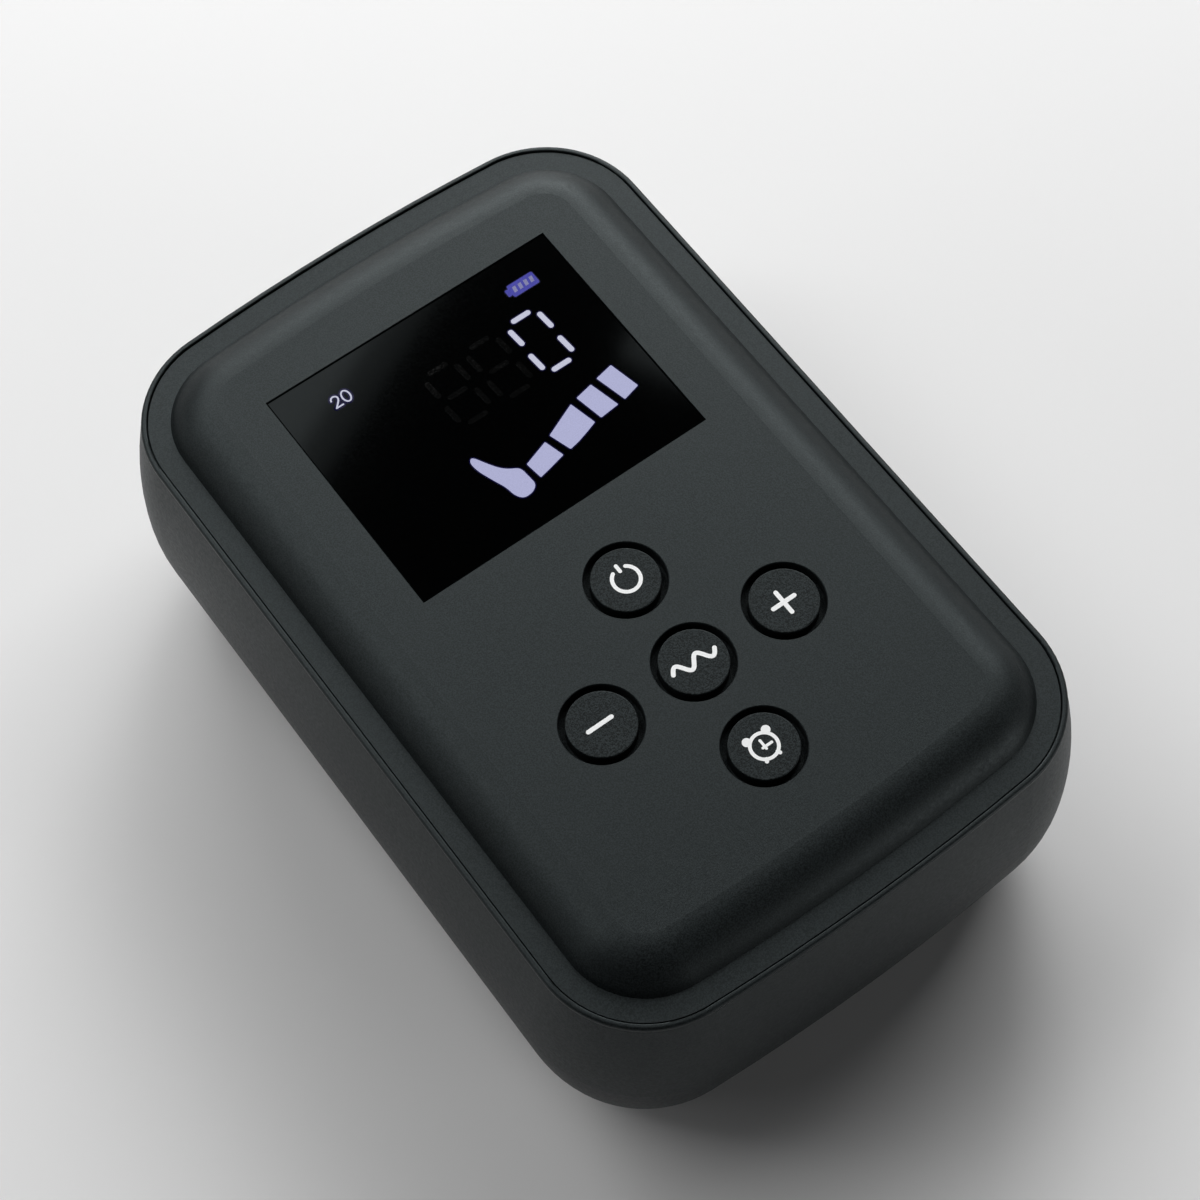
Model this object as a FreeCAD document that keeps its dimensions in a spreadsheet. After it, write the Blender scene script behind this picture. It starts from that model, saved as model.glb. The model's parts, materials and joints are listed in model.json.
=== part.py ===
"""Compression therapy pump: a hand-sized air pump that inflates a segmented leg sleeve.

The pump lies on its back, screen up: +Z out of the screen, +Y towards the screen end and
+X to the right of someone reading it. The origin is on the resting surface, under the middle
of the case. All sizes are millimetres.
"""
import FreeCAD, Part
import math
import os
import re

import Sketcher

# ---------------------------------------------------------------- driving sizes

SIZES = {
    # plan outline: the edge of the front panel, with straight sides and bowed ends
    "rim_width": 90.0,
    "rim_length": 138.0,
    "rim_corner": 17.0,
    "bow_rise": 2.45,
    # levels above the resting surface
    "foot_proud": 0.8,
    "belly_level": 25.0,
    "rim_level": 48.0,
    # rear housing: a barrel-sided shell
    "wall": 2.2,
    "lip_out": 0.95,
    "belly_out": 3.7,
    "belly_radius": 45.0,
    "back_radius": 10.3,
    "plate_overlap": 4.0,
    "lip_round": 0.08,
    # front panel: a flat rim round a raised pillow
    "panel_gap": 0.15,
    "rim_edge": 0.75,
    "rim_plate": 2.0,
    "rim_round": 0.1,
    "rim_band": 3.75,
    "pillow_rise": 4.75,
    "pillow_radius": 9.1,
    "panel_wall": 2.2,
    "skirt_margin": 0.3,
    "skirt_clearance": 0.5,
    # trim ring between the panel and the housing
    "trim_proud": 0.3,
    "trim_round": 0.55,
    "trim_inner_round": 0.2,
    # screen
    "screen_width": 52.8,
    "screen_height": 43.0,
    "screen_centre": 27.7,
    "lens_gap": 0.1,
    "lens_sink": 0.25,
    "lens_thickness": 1.1,
    "lens_edge": 0.15,
    "tape_thickness": 0.1,
    "tape_inset": 0.3,
    "window_border": 1.9,
    "display_gap": 0.15,
    "display_glass": 1.6,
    "display_tray": 3.2,
    "tray_wall": 0.7,
    "tray_border": 0.8,
    "tray_fit": 0.1,
    "holder_rim": 3.0,
    # push buttons
    "keys_centre": -25.7,
    "key_pitch": 16.9,
    "key_radius": 5.4,
    "key_gap": 1.05,
    "key_bevel": 0.12,
    "key_round": 0.18,
    "key_proud": 0.1,
    "key_travel": 0.6,
    "flange_radius": 7.4,
    "flange_gap": 0.3,
    "flange_thickness": 1.05,
    "stem_radius": 2.0,
    "stem_length": 0.6,
    # tact switches under the buttons
    "switch_side": 6.0,
    "switch_height": 3.5,
    "plunger_radius": 1.7,
    "plunger_in": 1.1,
    "plunger_well": 1.9,
    "slide_fit": 0.05,
    # circuit board
    "board_level": 44.0,
    "board_thickness": 1.6,
    "board_gap": 1.3,
    "board_margin": 4.5,
    "board_corner": 3.0,
    "board_screw_x": 31.0,
    "board_boss": 2.6,
    "boss_root": 0.8,
    "boss_sink": 0.5,
    "small_screw_radius": 0.95,
    "small_head_radius": 1.9,
    "small_head": 1.2,
    "small_screw_depth": 4.5,
    "screw_fit": 0.05,
    "tip_gap": 0.5,
    # parts on the circuit board
    "chip_side": 18.0,
    "chip_height": 1.6,
    "buzzer_radius": 6.0,
    "buzzer_height": 5.0,
    "buzzer_margin": 5.5,
    "buzzer_y": -20.0,
    "sensor_width": 8.0,
    "sensor_depth": 7.0,
    "sensor_height": 3.0,
    "spout_length": 3.0,
    "socket_width": 8.0,
    "socket_depth": 5.0,
    "socket_height": 6.0,
    "socket_wall": 0.85,
    # case pillars and their screws
    "pillar_x": 27.0,
    "pillar_y": 53.0,
    "pillar_radius": 4.4,
    "pillar_top": 36.0,
    "panel_boss": 3.2,
    "case_screw_radius": 1.4,
    "case_head_radius": 2.7,
    "case_head": 2.0,
    "case_seat": 28.0,
    "case_screw_depth": 8.0,
    "counterbore_radius": 3.0,
    # rubber feet
    "foot_radius": 5.2,
    "foot_sink": 0.6,
    "foot_fit": 0.2,
    # battery pack
    "cell_length": 65.0,
    "cell_gap": 1.0,
    "battery_margin": 1.9,
    "centre_margin": 4.5,
    "battery_end": -46.8,
    "wrap_gap": 0.05,
    "wrap_thickness": 0.35,
    "cradle_floor": 1.0,
    "cradle_height": 6.0,
    "cradle_fit": 0.1,
    "cradle_left": 7.8,
    "cradle_right": 0.8,
    "guard_thickness": 1.2,
    "guard_gap": 0.2,
    "guard_height": 10.0,
    "lead_radius": 0.8,
    "lead_pitch": 2.4,
    # motor and diaphragm pump
    "pump_level": 17.0,
    "motor_radius": 12.2,
    "motor_flat": 10.6,
    "motor_end": -44.0,
    "motor_length": 28.0,
    "shaft_radius": 1.0,
    "shaft_fit": 0.05,
    "shaft_depth": 20.0,
    "shaft_end_gap": 0.5,
    "shaft_reach": 9.0,
    "crank_radius": 6.5,
    "crank_length": 5.0,
    "crank_gap": 1.0,
    "crank_pin_radius": 1.2,
    "crank_pin_offset": 3.6,
    "crank_pin_length": 2.0,
    "crankcase_side": 26.0,
    "crankcase_length": 12.0,
    "crankcase_floor": 2.0,
    "crankcase_bore": 9.0,
    "corner_cut": 3.0,
    "diaphragm_thickness": 1.5,
    "head_length": 10.0,
    "nozzle_up": 9.0,
    "nozzle_depth": 3.0,
    "motor_lead_gap": 3.0,
    "motor_lead_bend": 2.2,
    "saddle_half": 9.0,
    "saddle_length": 12.0,
    "bracket_thickness": 1.5,
    "bracket_width": 9.0,
    "bracket_gap": 0.1,
    "bracket_margin": 3.7,
    "bracket_clearance": 3.2,
    "bracket_level": 8.0,
    "bracket_boss": 3.0,
    # air lines
    "tube_bore": 1.5,
    "tube_outer": 2.5,
    "tube_bend": 6.0,
    "barb_radius": 1.45,
    "barb_length": 3.6,
    "barb_bore": 0.8,
    "end_gap": 0.1,
    "sensor_tube_outer": 1.6,
    "sensor_tube_bore": 0.8,
    "sensor_barb_bore": 0.4,
    "sensor_x": -11.5,
    # manifold with its outlet ports, and the valves on it
    "manifold_level": 5.0,
    "manifold_height": 12.0,
    "manifold_front": 37.0,
    "manifold_depth": 11.0,
    "manifold_half": 34.0,
    "manifold_screw_x": 31.0,
    "port_pitch": 11.5,
    "port_radius": 2.2,
    "port_depth": 10.0,
    "gallery_radius": 1.2,
    "gallery_half": 27.0,
    "passage_offset": 1.6,
    "passage_radius": 0.6,
    "spigot_radius": 4.2,
    "spigot_fit": 0.2,
    "valve_width": 10.0,
    "valve_length": 17.8,
    "valve_height": 13.0,
    "valve_lift": 0.3,
    "yoke_thickness": 1.2,
    "coil_radius": 4.8,
    "armature_radius": 2.4,
    "armature_length": 12.0,
    "armature_travel": 0.8,
    "armature_seat": 2.8,
    # charging inlet
    "inlet_width": 8.9,
    "inlet_height": 3.2,
    "inlet_depth": 7.4,
    "inlet_skin": 0.3,
    "inlet_sink": 0.9,
    "inlet_clearance": 0.3,
    "inlet_floor": 1.5,
    "tongue_width": 6.6,
    "tongue_thickness": 0.7,
    "tongue_depth": 4.6,
    "ledge_half": 11.0,
    "ledge_depth": 8.0,
    "ledge_height": 2.4,
    "charge_board_behind": 2.5,
    "charge_board_gap": 0.6,
    "charge_board_thickness": 1.2,
    # intake slots in the back
    "slot_width": 1.4,
    "slot_length": 7.0,
    "slot_pitch": 4.6,
    "slot_y": 53.5,
}
VALVES = 5
SLOTS = 7

# ---------------------------------------------------------------- derived sizes, as formulas

BOW_RADIUS = "((rim_width/2)^2 + bow_rise^2)/(2*bow_rise)"
FLOOR = "(foot_proud + wall)"
HOUSING_TOP = "(rim_level - rim_edge)"
PANEL_TOP = "(rim_level + pillow_rise)"
ROOF = f"({PANEL_TOP} - panel_wall)"
CREASE_RUN = "sqrt(2*pillow_radius*pillow_rise - pillow_rise^2)"
PILLOW_OUTSET = f"(pillow_radius - rim_band - {CREASE_RUN})"
SKIRT_LEVEL = f"({PANEL_TOP} - pillow_radius - skirt_margin)"
LENS_SEAT = f"({PANEL_TOP} - lens_sink - lens_thickness - tape_thickness)"
BOARD_UNDER = "(board_level - board_thickness)"
BOARD_X = "(board_screw_x + board_margin)"
BOARD_Y = "(pillar_y - panel_boss - board_gap)"
WINDOW_X = "(screen_width/2 - window_border)"
WINDOW_Y = "(screen_height/2 - window_border)"
DISPLAY_TOP = f"({ROOF} - display_gap)"
TRAY_X = f"({WINDOW_X} + tray_border)"
TRAY_Y = f"({WINDOW_Y} + tray_border)"
FLANGE_TOP = f"({ROOF} - flange_gap)"
STEM_FOOT = f"({FLANGE_TOP} - flange_thickness - stem_length)"
SWITCH_TOP = "(board_level + switch_height)"
PUMP_X = "((rim_width/2 - bracket_margin - centre_margin + bracket_clearance)/2)"
BRACKET_REACH = f"(rim_width/2 - bracket_margin - {PUMP_X})"
BRACKET_ARCH = "(motor_radius + bracket_gap + bracket_thickness)"
PUMP_FRONT = "(motor_end + motor_length)"
DIAPHRAGM_AT = f"({PUMP_FRONT} + crankcase_length)"
HEAD_AT = f"({DIAPHRAGM_AT} + diaphragm_thickness)"
NOZZLE_AT = f"({HEAD_AT} + head_length)"
MANIFOLD_TOP = "(manifold_level + manifold_height)"
MANIFOLD_MID = "(manifold_front + manifold_depth/2)"
VALVE_LEVEL = "(manifold_level + valve_lift)"
VALVE_AXIS = f"({VALVE_LEVEL} + valve_height/2)"
GALLERY_LEVEL = f"({VALVE_AXIS} + passage_offset)"
CELL_SPAN = "(rim_width/2 - battery_margin - centre_margin - 2*(wrap_gap + wrap_thickness))"
CELL_RADIUS = f"(({CELL_SPAN} - cell_gap)/4)"
CELL_PITCH = f"(2*{CELL_RADIUS} + cell_gap)"
WRAP_RADIUS = f"({CELL_RADIUS} + wrap_gap + wrap_thickness)"
CELL_1_X = f"(battery_margin + {WRAP_RADIUS} - rim_width/2)"
CELL_2_X = f"({CELL_1_X} + {CELL_PITCH})"
BATTERY_LEVEL = f"({FLOOR} + cradle_floor + {WRAP_RADIUS})"
BELLY_Y = "(rim_length/2 + belly_out)"
INLET_MOUTH = f"({BELLY_Y} - inlet_sink)"
INLET_BOTTOM = "(belly_level - inlet_height/2)"
LEDGE_TOP = f"({INLET_BOTTOM} - charge_board_thickness)"
SOCKET_LEVEL = f"({BOARD_UNDER} - socket_height)"

# ---------------------------------------------------------------- document and helpers

doc = FreeCAD.newDocument("CompressionPump")
sheet = doc.addObject("Spreadsheet::Sheet", "Sizes")
for row, (alias, number) in enumerate(SIZES.items(), 1):
    sheet.set(f"A{row}", alias)
    sheet.set(f"B{row}", str(number))
    sheet.setAlias(f"B{row}", alias)
doc.recompute()

probe = doc.addObject("App::FeaturePython", "Probe")
probe.addProperty("App::PropertyFloat", "Number")

nodes = []
UP = FreeCAD.Vector(0, 0, 1)
TURN = {
    "X": FreeCAD.Rotation(FreeCAD.Vector(0, 1, 0), 90),
    "Y": FreeCAD.Rotation(FreeCAD.Vector(1, 0, 0), -90),
    "Z": FreeCAD.Rotation(),
}


def bound(formula):
    """The formula with each size's name pointing at its cell in the sheet."""
    return re.sub(r"[a-z][a-z0-9_]*", lambda word: cell(word.group()), formula)


def cell(word):
    return f"Sizes.{word}" if word in SIZES else word


def value(formula):
    """The number that a formula gives now."""
    probe.setExpression("Number", bound(formula))
    probe.recompute()
    return probe.Number


def keep(part, label):
    """Give a finished sub-part the name of its node."""
    part.Label = label
    nodes.append(part)
    return part


def new_body(name):
    return doc.addObject("PartDesign::Body", name)


def new_sketch(body, name, role="XY_Plane", level="0"):
    """An empty sketch on one of the body's own planes, lifted to a level along its normal."""
    drawing = body.newObject("Sketcher::SketchObject", name)
    plane = next(item for item in body.Origin.OriginFeatures if item.Role == role)
    drawing.AttachmentSupport = [(plane, "")]
    drawing.MapMode = "FlatFace"
    drawing.setExpression("AttachmentOffset.Base.z", bound(level))
    return drawing


def rule(drawing, *terms, size=None):
    """Add a constraint; one with a size follows that formula."""
    number = drawing.addConstraint(Sketcher.Constraint(*terms))
    if size is not None:
        name = f"size_{number}"
        drawing.renameConstraint(number, name)
        drawing.setExpression(f"Constraints.{name}", bound(size))


def fix_point(drawing, geometry, point, x, y):
    """Tie a point to the sketch's origin by two formulas."""
    for kind, axis, formula in (("DistanceX", -2, x), ("DistanceY", -1, y)):
        if formula == "0":
            rule(drawing, "PointOnObject", geometry, point, axis)
        else:
            rule(drawing, kind, -1, 1, geometry, point, value(formula), size=formula)


def arc(centre_x, centre_y, radius, start, end):
    circle = Part.Circle(FreeCAD.Vector(centre_x, centre_y, 0), UP, radius)
    return Part.ArcOfCircle(circle, start, end)


def line(x_start, y_start, x_end, y_end):
    return Part.LineSegment(FreeCAD.Vector(x_start, y_start, 0), FreeCAD.Vector(x_end, y_end, 0))


def draw_outline(drawing, outset):
    """The plan outline grown by an outset: straight sides, round corners and bowed ends."""
    first = drawing.GeometryCount
    half = value(f"rim_width/2 + {outset}")
    corner = value(f"rim_corner + {outset}")
    bow = value(f"{BOW_RADIUS} + {outset}")
    reach = value(f"{BOW_RADIUS} - rim_length/2")
    side = half - corner
    turn = math.sqrt((bow - corner) ** 2 - side ** 2)
    lean = math.atan2(turn, side)
    end = turn - reach
    drawing.addGeometry([
        line(half, 0, half, end),
        arc(side, end, corner, 0, lean),
        arc(0, -reach, bow, lean, math.pi - lean),
        arc(-side, end, corner, math.pi - lean, math.pi),
        line(-half, end, -half, -end),
        arc(-side, -end, corner, math.pi, math.pi + lean),
        arc(0, reach, bow, math.pi + lean, 2 * math.pi - lean),
        arc(side, -end, corner, -lean, 0),
        line(half, -end, half, 0),
    ], False)
    right, right_corner, top, left_corner, left = range(first, first + 5)
    low, last = first + 6, first + 8
    for index in range(first, last):
        rule(drawing, "Tangent", index, 2, index + 1, 1)
    rule(drawing, "Coincident", last, 2, first, 1)
    for index in (right, left, last):
        rule(drawing, "Vertical", index)
    rule(drawing, "PointOnObject", right, 1, -1)
    rule(drawing, "DistanceX", -1, 1, right, 1, half, size=f"rim_width/2 + {outset}")
    rule(drawing, "DistanceX", left, 1, -1, 1, half, size=f"rim_width/2 + {outset}")
    rule(drawing, "Radius", right_corner, corner, size=f"rim_corner + {outset}")
    for index in (left_corner, low - 1, low + 1):
        rule(drawing, "Equal", right_corner, index)
    rule(drawing, "Radius", top, bow, size=f"{BOW_RADIUS} + {outset}")
    rule(drawing, "Equal", top, low)
    rule(drawing, "PointOnObject", top, 3, -2)
    rule(drawing, "PointOnObject", low, 3, -2)
    rule(drawing, "DistanceY", top, 3, -1, 1, reach, size=f"{BOW_RADIUS} - rim_length/2")
    rule(drawing, "DistanceY", -1, 1, low, 3, reach, size=f"{BOW_RADIUS} - rim_length/2")


def draw_polygon(drawing, corners):
    """A closed polygon; each corner is a pair of formulas."""
    first = drawing.GeometryCount
    spots = [(value(x), value(y)) for x, y in corners]
    edges = [line(*spots[index - 1], *spots[index]) for index in range(len(spots))]
    drawing.addGeometry(edges, False)
    for index, (x, y) in enumerate(corners):
        following = (index + 1) % len(corners)
        rule(drawing, "Coincident", first + index, 2, first + following, 1)
        fix_point(drawing, first + index, 2, x, y)


def draw_rectangle(drawing, x_low, x_high, y_low, y_high):
    draw_polygon(drawing, [(x_low, y_low), (x_high, y_low), (x_high, y_high), (x_low, y_high)])


def draw_circle(drawing, x, y, radius):
    index = drawing.GeometryCount
    drawing.addGeometry(
        Part.Circle(FreeCAD.Vector(value(x), value(y), 0), UP, value(radius)), False)
    fix_point(drawing, index, 3, x, y)
    rule(drawing, "Radius", index, value(radius), size=radius)


def pad(body, drawing, length, name):
    """Raise a sketch along its normal."""
    feature = body.newObject("PartDesign::Pad", name)
    feature.Profile = drawing
    feature.setExpression("Length", bound(length))
    doc.recompute()
    return feature


def pocket(body, drawing, name, length=None, upward=False):
    """Cut a sketch out of the body, to a depth or right through."""
    feature = body.newObject("PartDesign::Pocket", name)
    feature.Profile = drawing
    feature.Reversed = upward
    if length is None:
        feature.Type = "ThroughAll"
    else:
        feature.setExpression("Length", bound(length))
    doc.recompute()
    return feature


def level_edges(feature, level, outer=True):
    """Names of the edges round the largest flat face at a level."""
    flat = [face for face in feature.Shape.Faces
            if isinstance(face.Surface, Part.Plane) and abs(face.Surface.Axis.z) > 0.999
            and abs(face.Surface.Position.z - value(level)) < 0.001]
    face = max(flat, key=lambda item: item.Area)
    ring = face.OuterWire
    wanted = [edge for wire in face.Wires if wire.isSame(ring) == outer for edge in wire.Edges]
    return [f"Edge{number}" for number, edge in enumerate(feature.Shape.Edges, 1)
            if any(edge.isSame(item) for item in wanted)]


def dress(body, kind, feature, edges, size, name):
    """Fillet or chamfer some edges of a feature."""
    blend = body.newObject(f"PartDesign::{kind}", name)
    blend.Base = (feature, edges)
    blend.setExpression("Radius" if kind == "Fillet" else "Size", bound(size))
    doc.recompute()
    return blend


def place(part, x, y, z, axis="Z"):
    part.Placement = FreeCAD.Placement(FreeCAD.Vector(), TURN[axis])
    for letter, formula in zip("xyz", (x, y, z)):
        part.setExpression(f"Placement.Base.{letter}", bound(formula))
    return part


def box(name, x_low, x_high, y_low, y_high, z_low, z_high):
    part = doc.addObject("Part::Box", name)
    spans = (("Length", x_low, x_high), ("Width", y_low, y_high), ("Height", z_low, z_high))
    for side, low, high in spans:
        part.setExpression(side, bound(f"({high}) - ({low})"))
    return place(part, x_low, y_low, z_low)


def rod(name, x, y, z, radius, length, axis="Z"):
    part = doc.addObject("Part::Cylinder", name)
    part.setExpression("Radius", bound(radius))
    part.setExpression("Height", bound(length))
    return place(part, x, y, z, axis)


def cut(name, base, *tools):
    for number, tool in enumerate(tools, 1):
        result = doc.addObject("Part::Cut", f"{name}_{number}")
        result.Base = base
        result.Tool = tool
        base = result
    return base


def fuse(name, *parts):
    result = doc.addObject("Part::MultiFuse", name)
    result.Shapes = list(parts)
    return result


def group(name, *parts):
    """Several separate solids in one node."""
    result = doc.addObject("Part::Compound", name)
    result.Links = list(parts)
    return result


# ---------------------------------------------------------------- places that repeat

SIDES = (("left", "-"), ("right", ""))
ENDS = (("low", "-"), ("high", ""))
PILLARS = {f"{side}_{end}": (f"{x}pillar_x", f"{y}pillar_y")
           for side, x in SIDES for end, y in ENDS}
BOARD_SCREWS = {f"{side}_{end}": (f"{x}board_screw_x", f"{y}({BOARD_Y} - board_margin)")
                for side, x in SIDES for end, y in ENDS}
KEYS = {
    "power": ("0", "keys_centre + key_pitch"),
    "plus": ("key_pitch", "keys_centre"),
    "mode": ("0", "keys_centre"),
    "minus": ("-key_pitch", "keys_centre"),
    "timer": ("0", "keys_centre - key_pitch"),
}
PORTS = [f"({index - VALVES // 2}*port_pitch)" for index in range(VALVES)]
MANIFOLD_SCREWS = {"left": "-manifold_screw_x", "right": "manifold_screw_x"}
BRACKET_X = f"(({BRACKET_ARCH} + {BRACKET_REACH})/2)"
BRACKET_SCREWS = {"left": f"{PUMP_X} - {BRACKET_X}", "right": f"{PUMP_X} + {BRACKET_X}"}
BRACKET_Y = "(motor_end + motor_length/2)"


# ---------------------------------------------------------------- rear housing

def draw_shell_section(drawing):
    """Cross-section of the barrel wall: three tangent arcs outside, the same three inside."""
    thick = value("wall")
    top, belly, back = value(HOUSING_TOP), value("belly_level"), value("foot_proud")
    top_x, belly_x = value("rim_width/2 + lip_out"), value("rim_width/2 + belly_out")
    drop, swell = top - belly, belly_x - top_x
    upper = (drop ** 2 + swell ** 2) / (2 * swell)
    lower, corner = value("belly_radius"), value("back_radius")
    upper_x, lower_x = belly_x - upper, belly_x - lower
    lean = math.asin((belly - back - corner) / (lower - corner))
    corner_x = lower_x + (lower - corner) * math.cos(lean)
    tilt, inner_tilt = math.asin(drop / upper), math.asin(drop / (upper - thick))
    inner_top = upper_x + (upper - thick) * math.cos(inner_tilt)
    plate_x = corner_x - value("plate_overlap")
    drawing.addGeometry([
        arc(upper_x, belly, upper, 0, tilt),
        arc(lower_x, belly, lower, -lean, 0),
        arc(corner_x, back + corner, corner, -math.pi / 2, -lean),
        line(corner_x, back, plate_x, back),
        line(plate_x, back, plate_x, back + thick),
        line(plate_x, back + thick, corner_x, back + thick),
        arc(corner_x, back + corner, corner - thick, -math.pi / 2, -lean),
        arc(lower_x, belly, lower - thick, -lean, 0),
        arc(upper_x, belly, upper - thick, 0, inner_tilt),
        line(inner_top, top, top_x, top),
    ], False)
    for first, start, second, end in ((0, 1, 1, 2), (1, 1, 2, 2), (2, 1, 3, 1),
                                      (5, 2, 6, 1), (6, 2, 7, 1), (7, 2, 8, 1)):
        rule(drawing, "Tangent", first, start, second, end)
    for first, second in ((3, 4), (4, 5), (8, 9)):
        rule(drawing, "Coincident", first, 2, second, 1)
    rule(drawing, "Coincident", 9, 2, 0, 2)
    for index in (3, 5, 9):
        rule(drawing, "Horizontal", index)
    rule(drawing, "Vertical", 4)
    rule(drawing, "Horizontal", 0, 3, 0, 1)
    for outside, inside in ((0, 8), (1, 7), (2, 6)):
        rule(drawing, "Coincident", outside, 3, inside, 3)
    fix_point(drawing, 0, 1, "rim_width/2 + belly_out", "belly_level")
    fix_point(drawing, 0, 2, "rim_width/2 + lip_out", HOUSING_TOP)
    rule(drawing, "Radius", 1, lower, size="belly_radius")
    rule(drawing, "Radius", 2, corner, size="back_radius")
    rule(drawing, "DistanceY", -1, 1, 3, 1, back, size="foot_proud")
    rule(drawing, "DistanceX", 3, 2, 3, 1, corner_x - plate_x, size="plate_overlap")
    rule(drawing, "DistanceY", 4, 1, 4, 2, thick, size="wall")


def make_rear_housing():
    body = new_body("Housing")
    spine = new_sketch(body, "housing_spine", level="rim_level")
    draw_outline(spine, "0")
    section = new_sketch(body, "housing_section", role="XZ_Plane")
    draw_shell_section(section)
    doc.recompute()
    shell = body.newObject("PartDesign::AdditivePipe", "housing_wall")
    shell.Profile = section
    shell.Spine = (spine, [f"Edge{number + 1}" for number in range(spine.GeometryCount)])
    doc.recompute()
    # the flat of the back starts where the corner arc of the section ends
    lean_sine = "((belly_level - foot_proud - back_radius)/(belly_radius - back_radius))"
    flat = f"(belly_out - belly_radius + (belly_radius - back_radius)*sqrt(1 - {lean_sine}^2))"
    plate = new_sketch(body, "back_plate_outline", level="foot_proud")
    draw_outline(plate, f"{flat} - plate_overlap/2")
    pad(body, plate, "wall", "back_plate")

    pillars = new_sketch(body, "pillar_plan", level="foot_proud + wall/2")
    for x, y in PILLARS.values():
        draw_circle(pillars, x, y, "pillar_radius")
    pad(body, pillars, "pillar_top - foot_proud - wall/2", "pillars")
    ledge = new_sketch(body, "ledge_plan", level=f"{LEDGE_TOP} - ledge_height")
    draw_rectangle(ledge, "-ledge_half", "ledge_half",
                   f"{BELLY_Y} - wall - ledge_depth", f"{BELLY_Y} - wall/2")
    pad(body, ledge, "ledge_height", "charge_board_ledge")
    bosses = new_sketch(body, "manifold_boss_plan", level=f"{FLOOR} - boss_sink")
    for x in MANIFOLD_SCREWS.values():
        draw_circle(bosses, x, MANIFOLD_MID, "bracket_boss")
    pad(body, bosses, f"manifold_level - {FLOOR} + boss_sink", "manifold_bosses")
    posts = new_sketch(body, "bracket_boss_plan", level=f"{FLOOR} - boss_sink")
    for x in BRACKET_SCREWS.values():
        draw_circle(posts, x, BRACKET_Y, "bracket_boss")
    pad(body, posts, f"bracket_level - {FLOOR} + boss_sink", "bracket_bosses")

    through = new_sketch(body, "screw_passages", level="pillar_top")
    for x, y in PILLARS.values():
        draw_circle(through, x, y, "case_screw_radius + screw_fit")
    pocket(body, through, "case_screw_holes")
    wells = new_sketch(body, "counterbore_plan", level="case_seat")
    for x, y in PILLARS.values():
        draw_circle(wells, x, y, "counterbore_radius")
    pocket(body, wells, "counterbores")
    seats = new_sketch(body, "foot_seat_plan", level="foot_proud + foot_sink")
    for x, y in PILLARS.values():
        draw_circle(seats, x, y, "foot_radius + foot_fit")
    pocket(body, seats, "foot_seats")
    pilots = new_sketch(body, "small_pilot_plan", level=MANIFOLD_TOP)
    for x in MANIFOLD_SCREWS.values():
        draw_circle(pilots, x, MANIFOLD_MID, "small_screw_radius + screw_fit")
    for x in BRACKET_SCREWS.values():
        draw_circle(pilots, x, BRACKET_Y, "small_screw_radius + screw_fit")
    pocket(body, pilots, "small_pilots", length=f"{MANIFOLD_TOP} - foot_proud - wall/2")
    ports = new_sketch(body, "port_hole_plan", level="manifold_level")
    for x in PORTS:
        draw_circle(ports, x, MANIFOLD_MID, "spigot_radius + spigot_fit")
    pocket(body, ports, "port_holes")
    slots = new_sketch(body, "intake_plan", level=FLOOR)
    for number in range(SLOTS):
        middle = f"({number - SLOTS // 2})*slot_pitch"
        draw_rectangle(slots, f"{middle} - slot_width/2", f"{middle} + slot_width/2",
                       "slot_y - slot_length/2", "slot_y + slot_length/2")
    pocket(body, slots, "intake_slots")
    inlet = new_sketch(body, "inlet_outline", role="XZ_Plane")
    draw_rectangle(inlet, "-inlet_width/2 - inlet_clearance", "inlet_width/2 + inlet_clearance",
                   f"{INLET_BOTTOM} - inlet_clearance",
                   f"{INLET_BOTTOM} + inlet_height + inlet_clearance")
    cutout = pocket(body, inlet, "inlet_opening")
    dress(body, "Fillet", cutout, level_edges(cutout, HOUSING_TOP), "lip_round", "lip_rounding")
    return keep(body, "rear_housing")


# ---------------------------------------------------------------- front panel and trim ring

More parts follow.
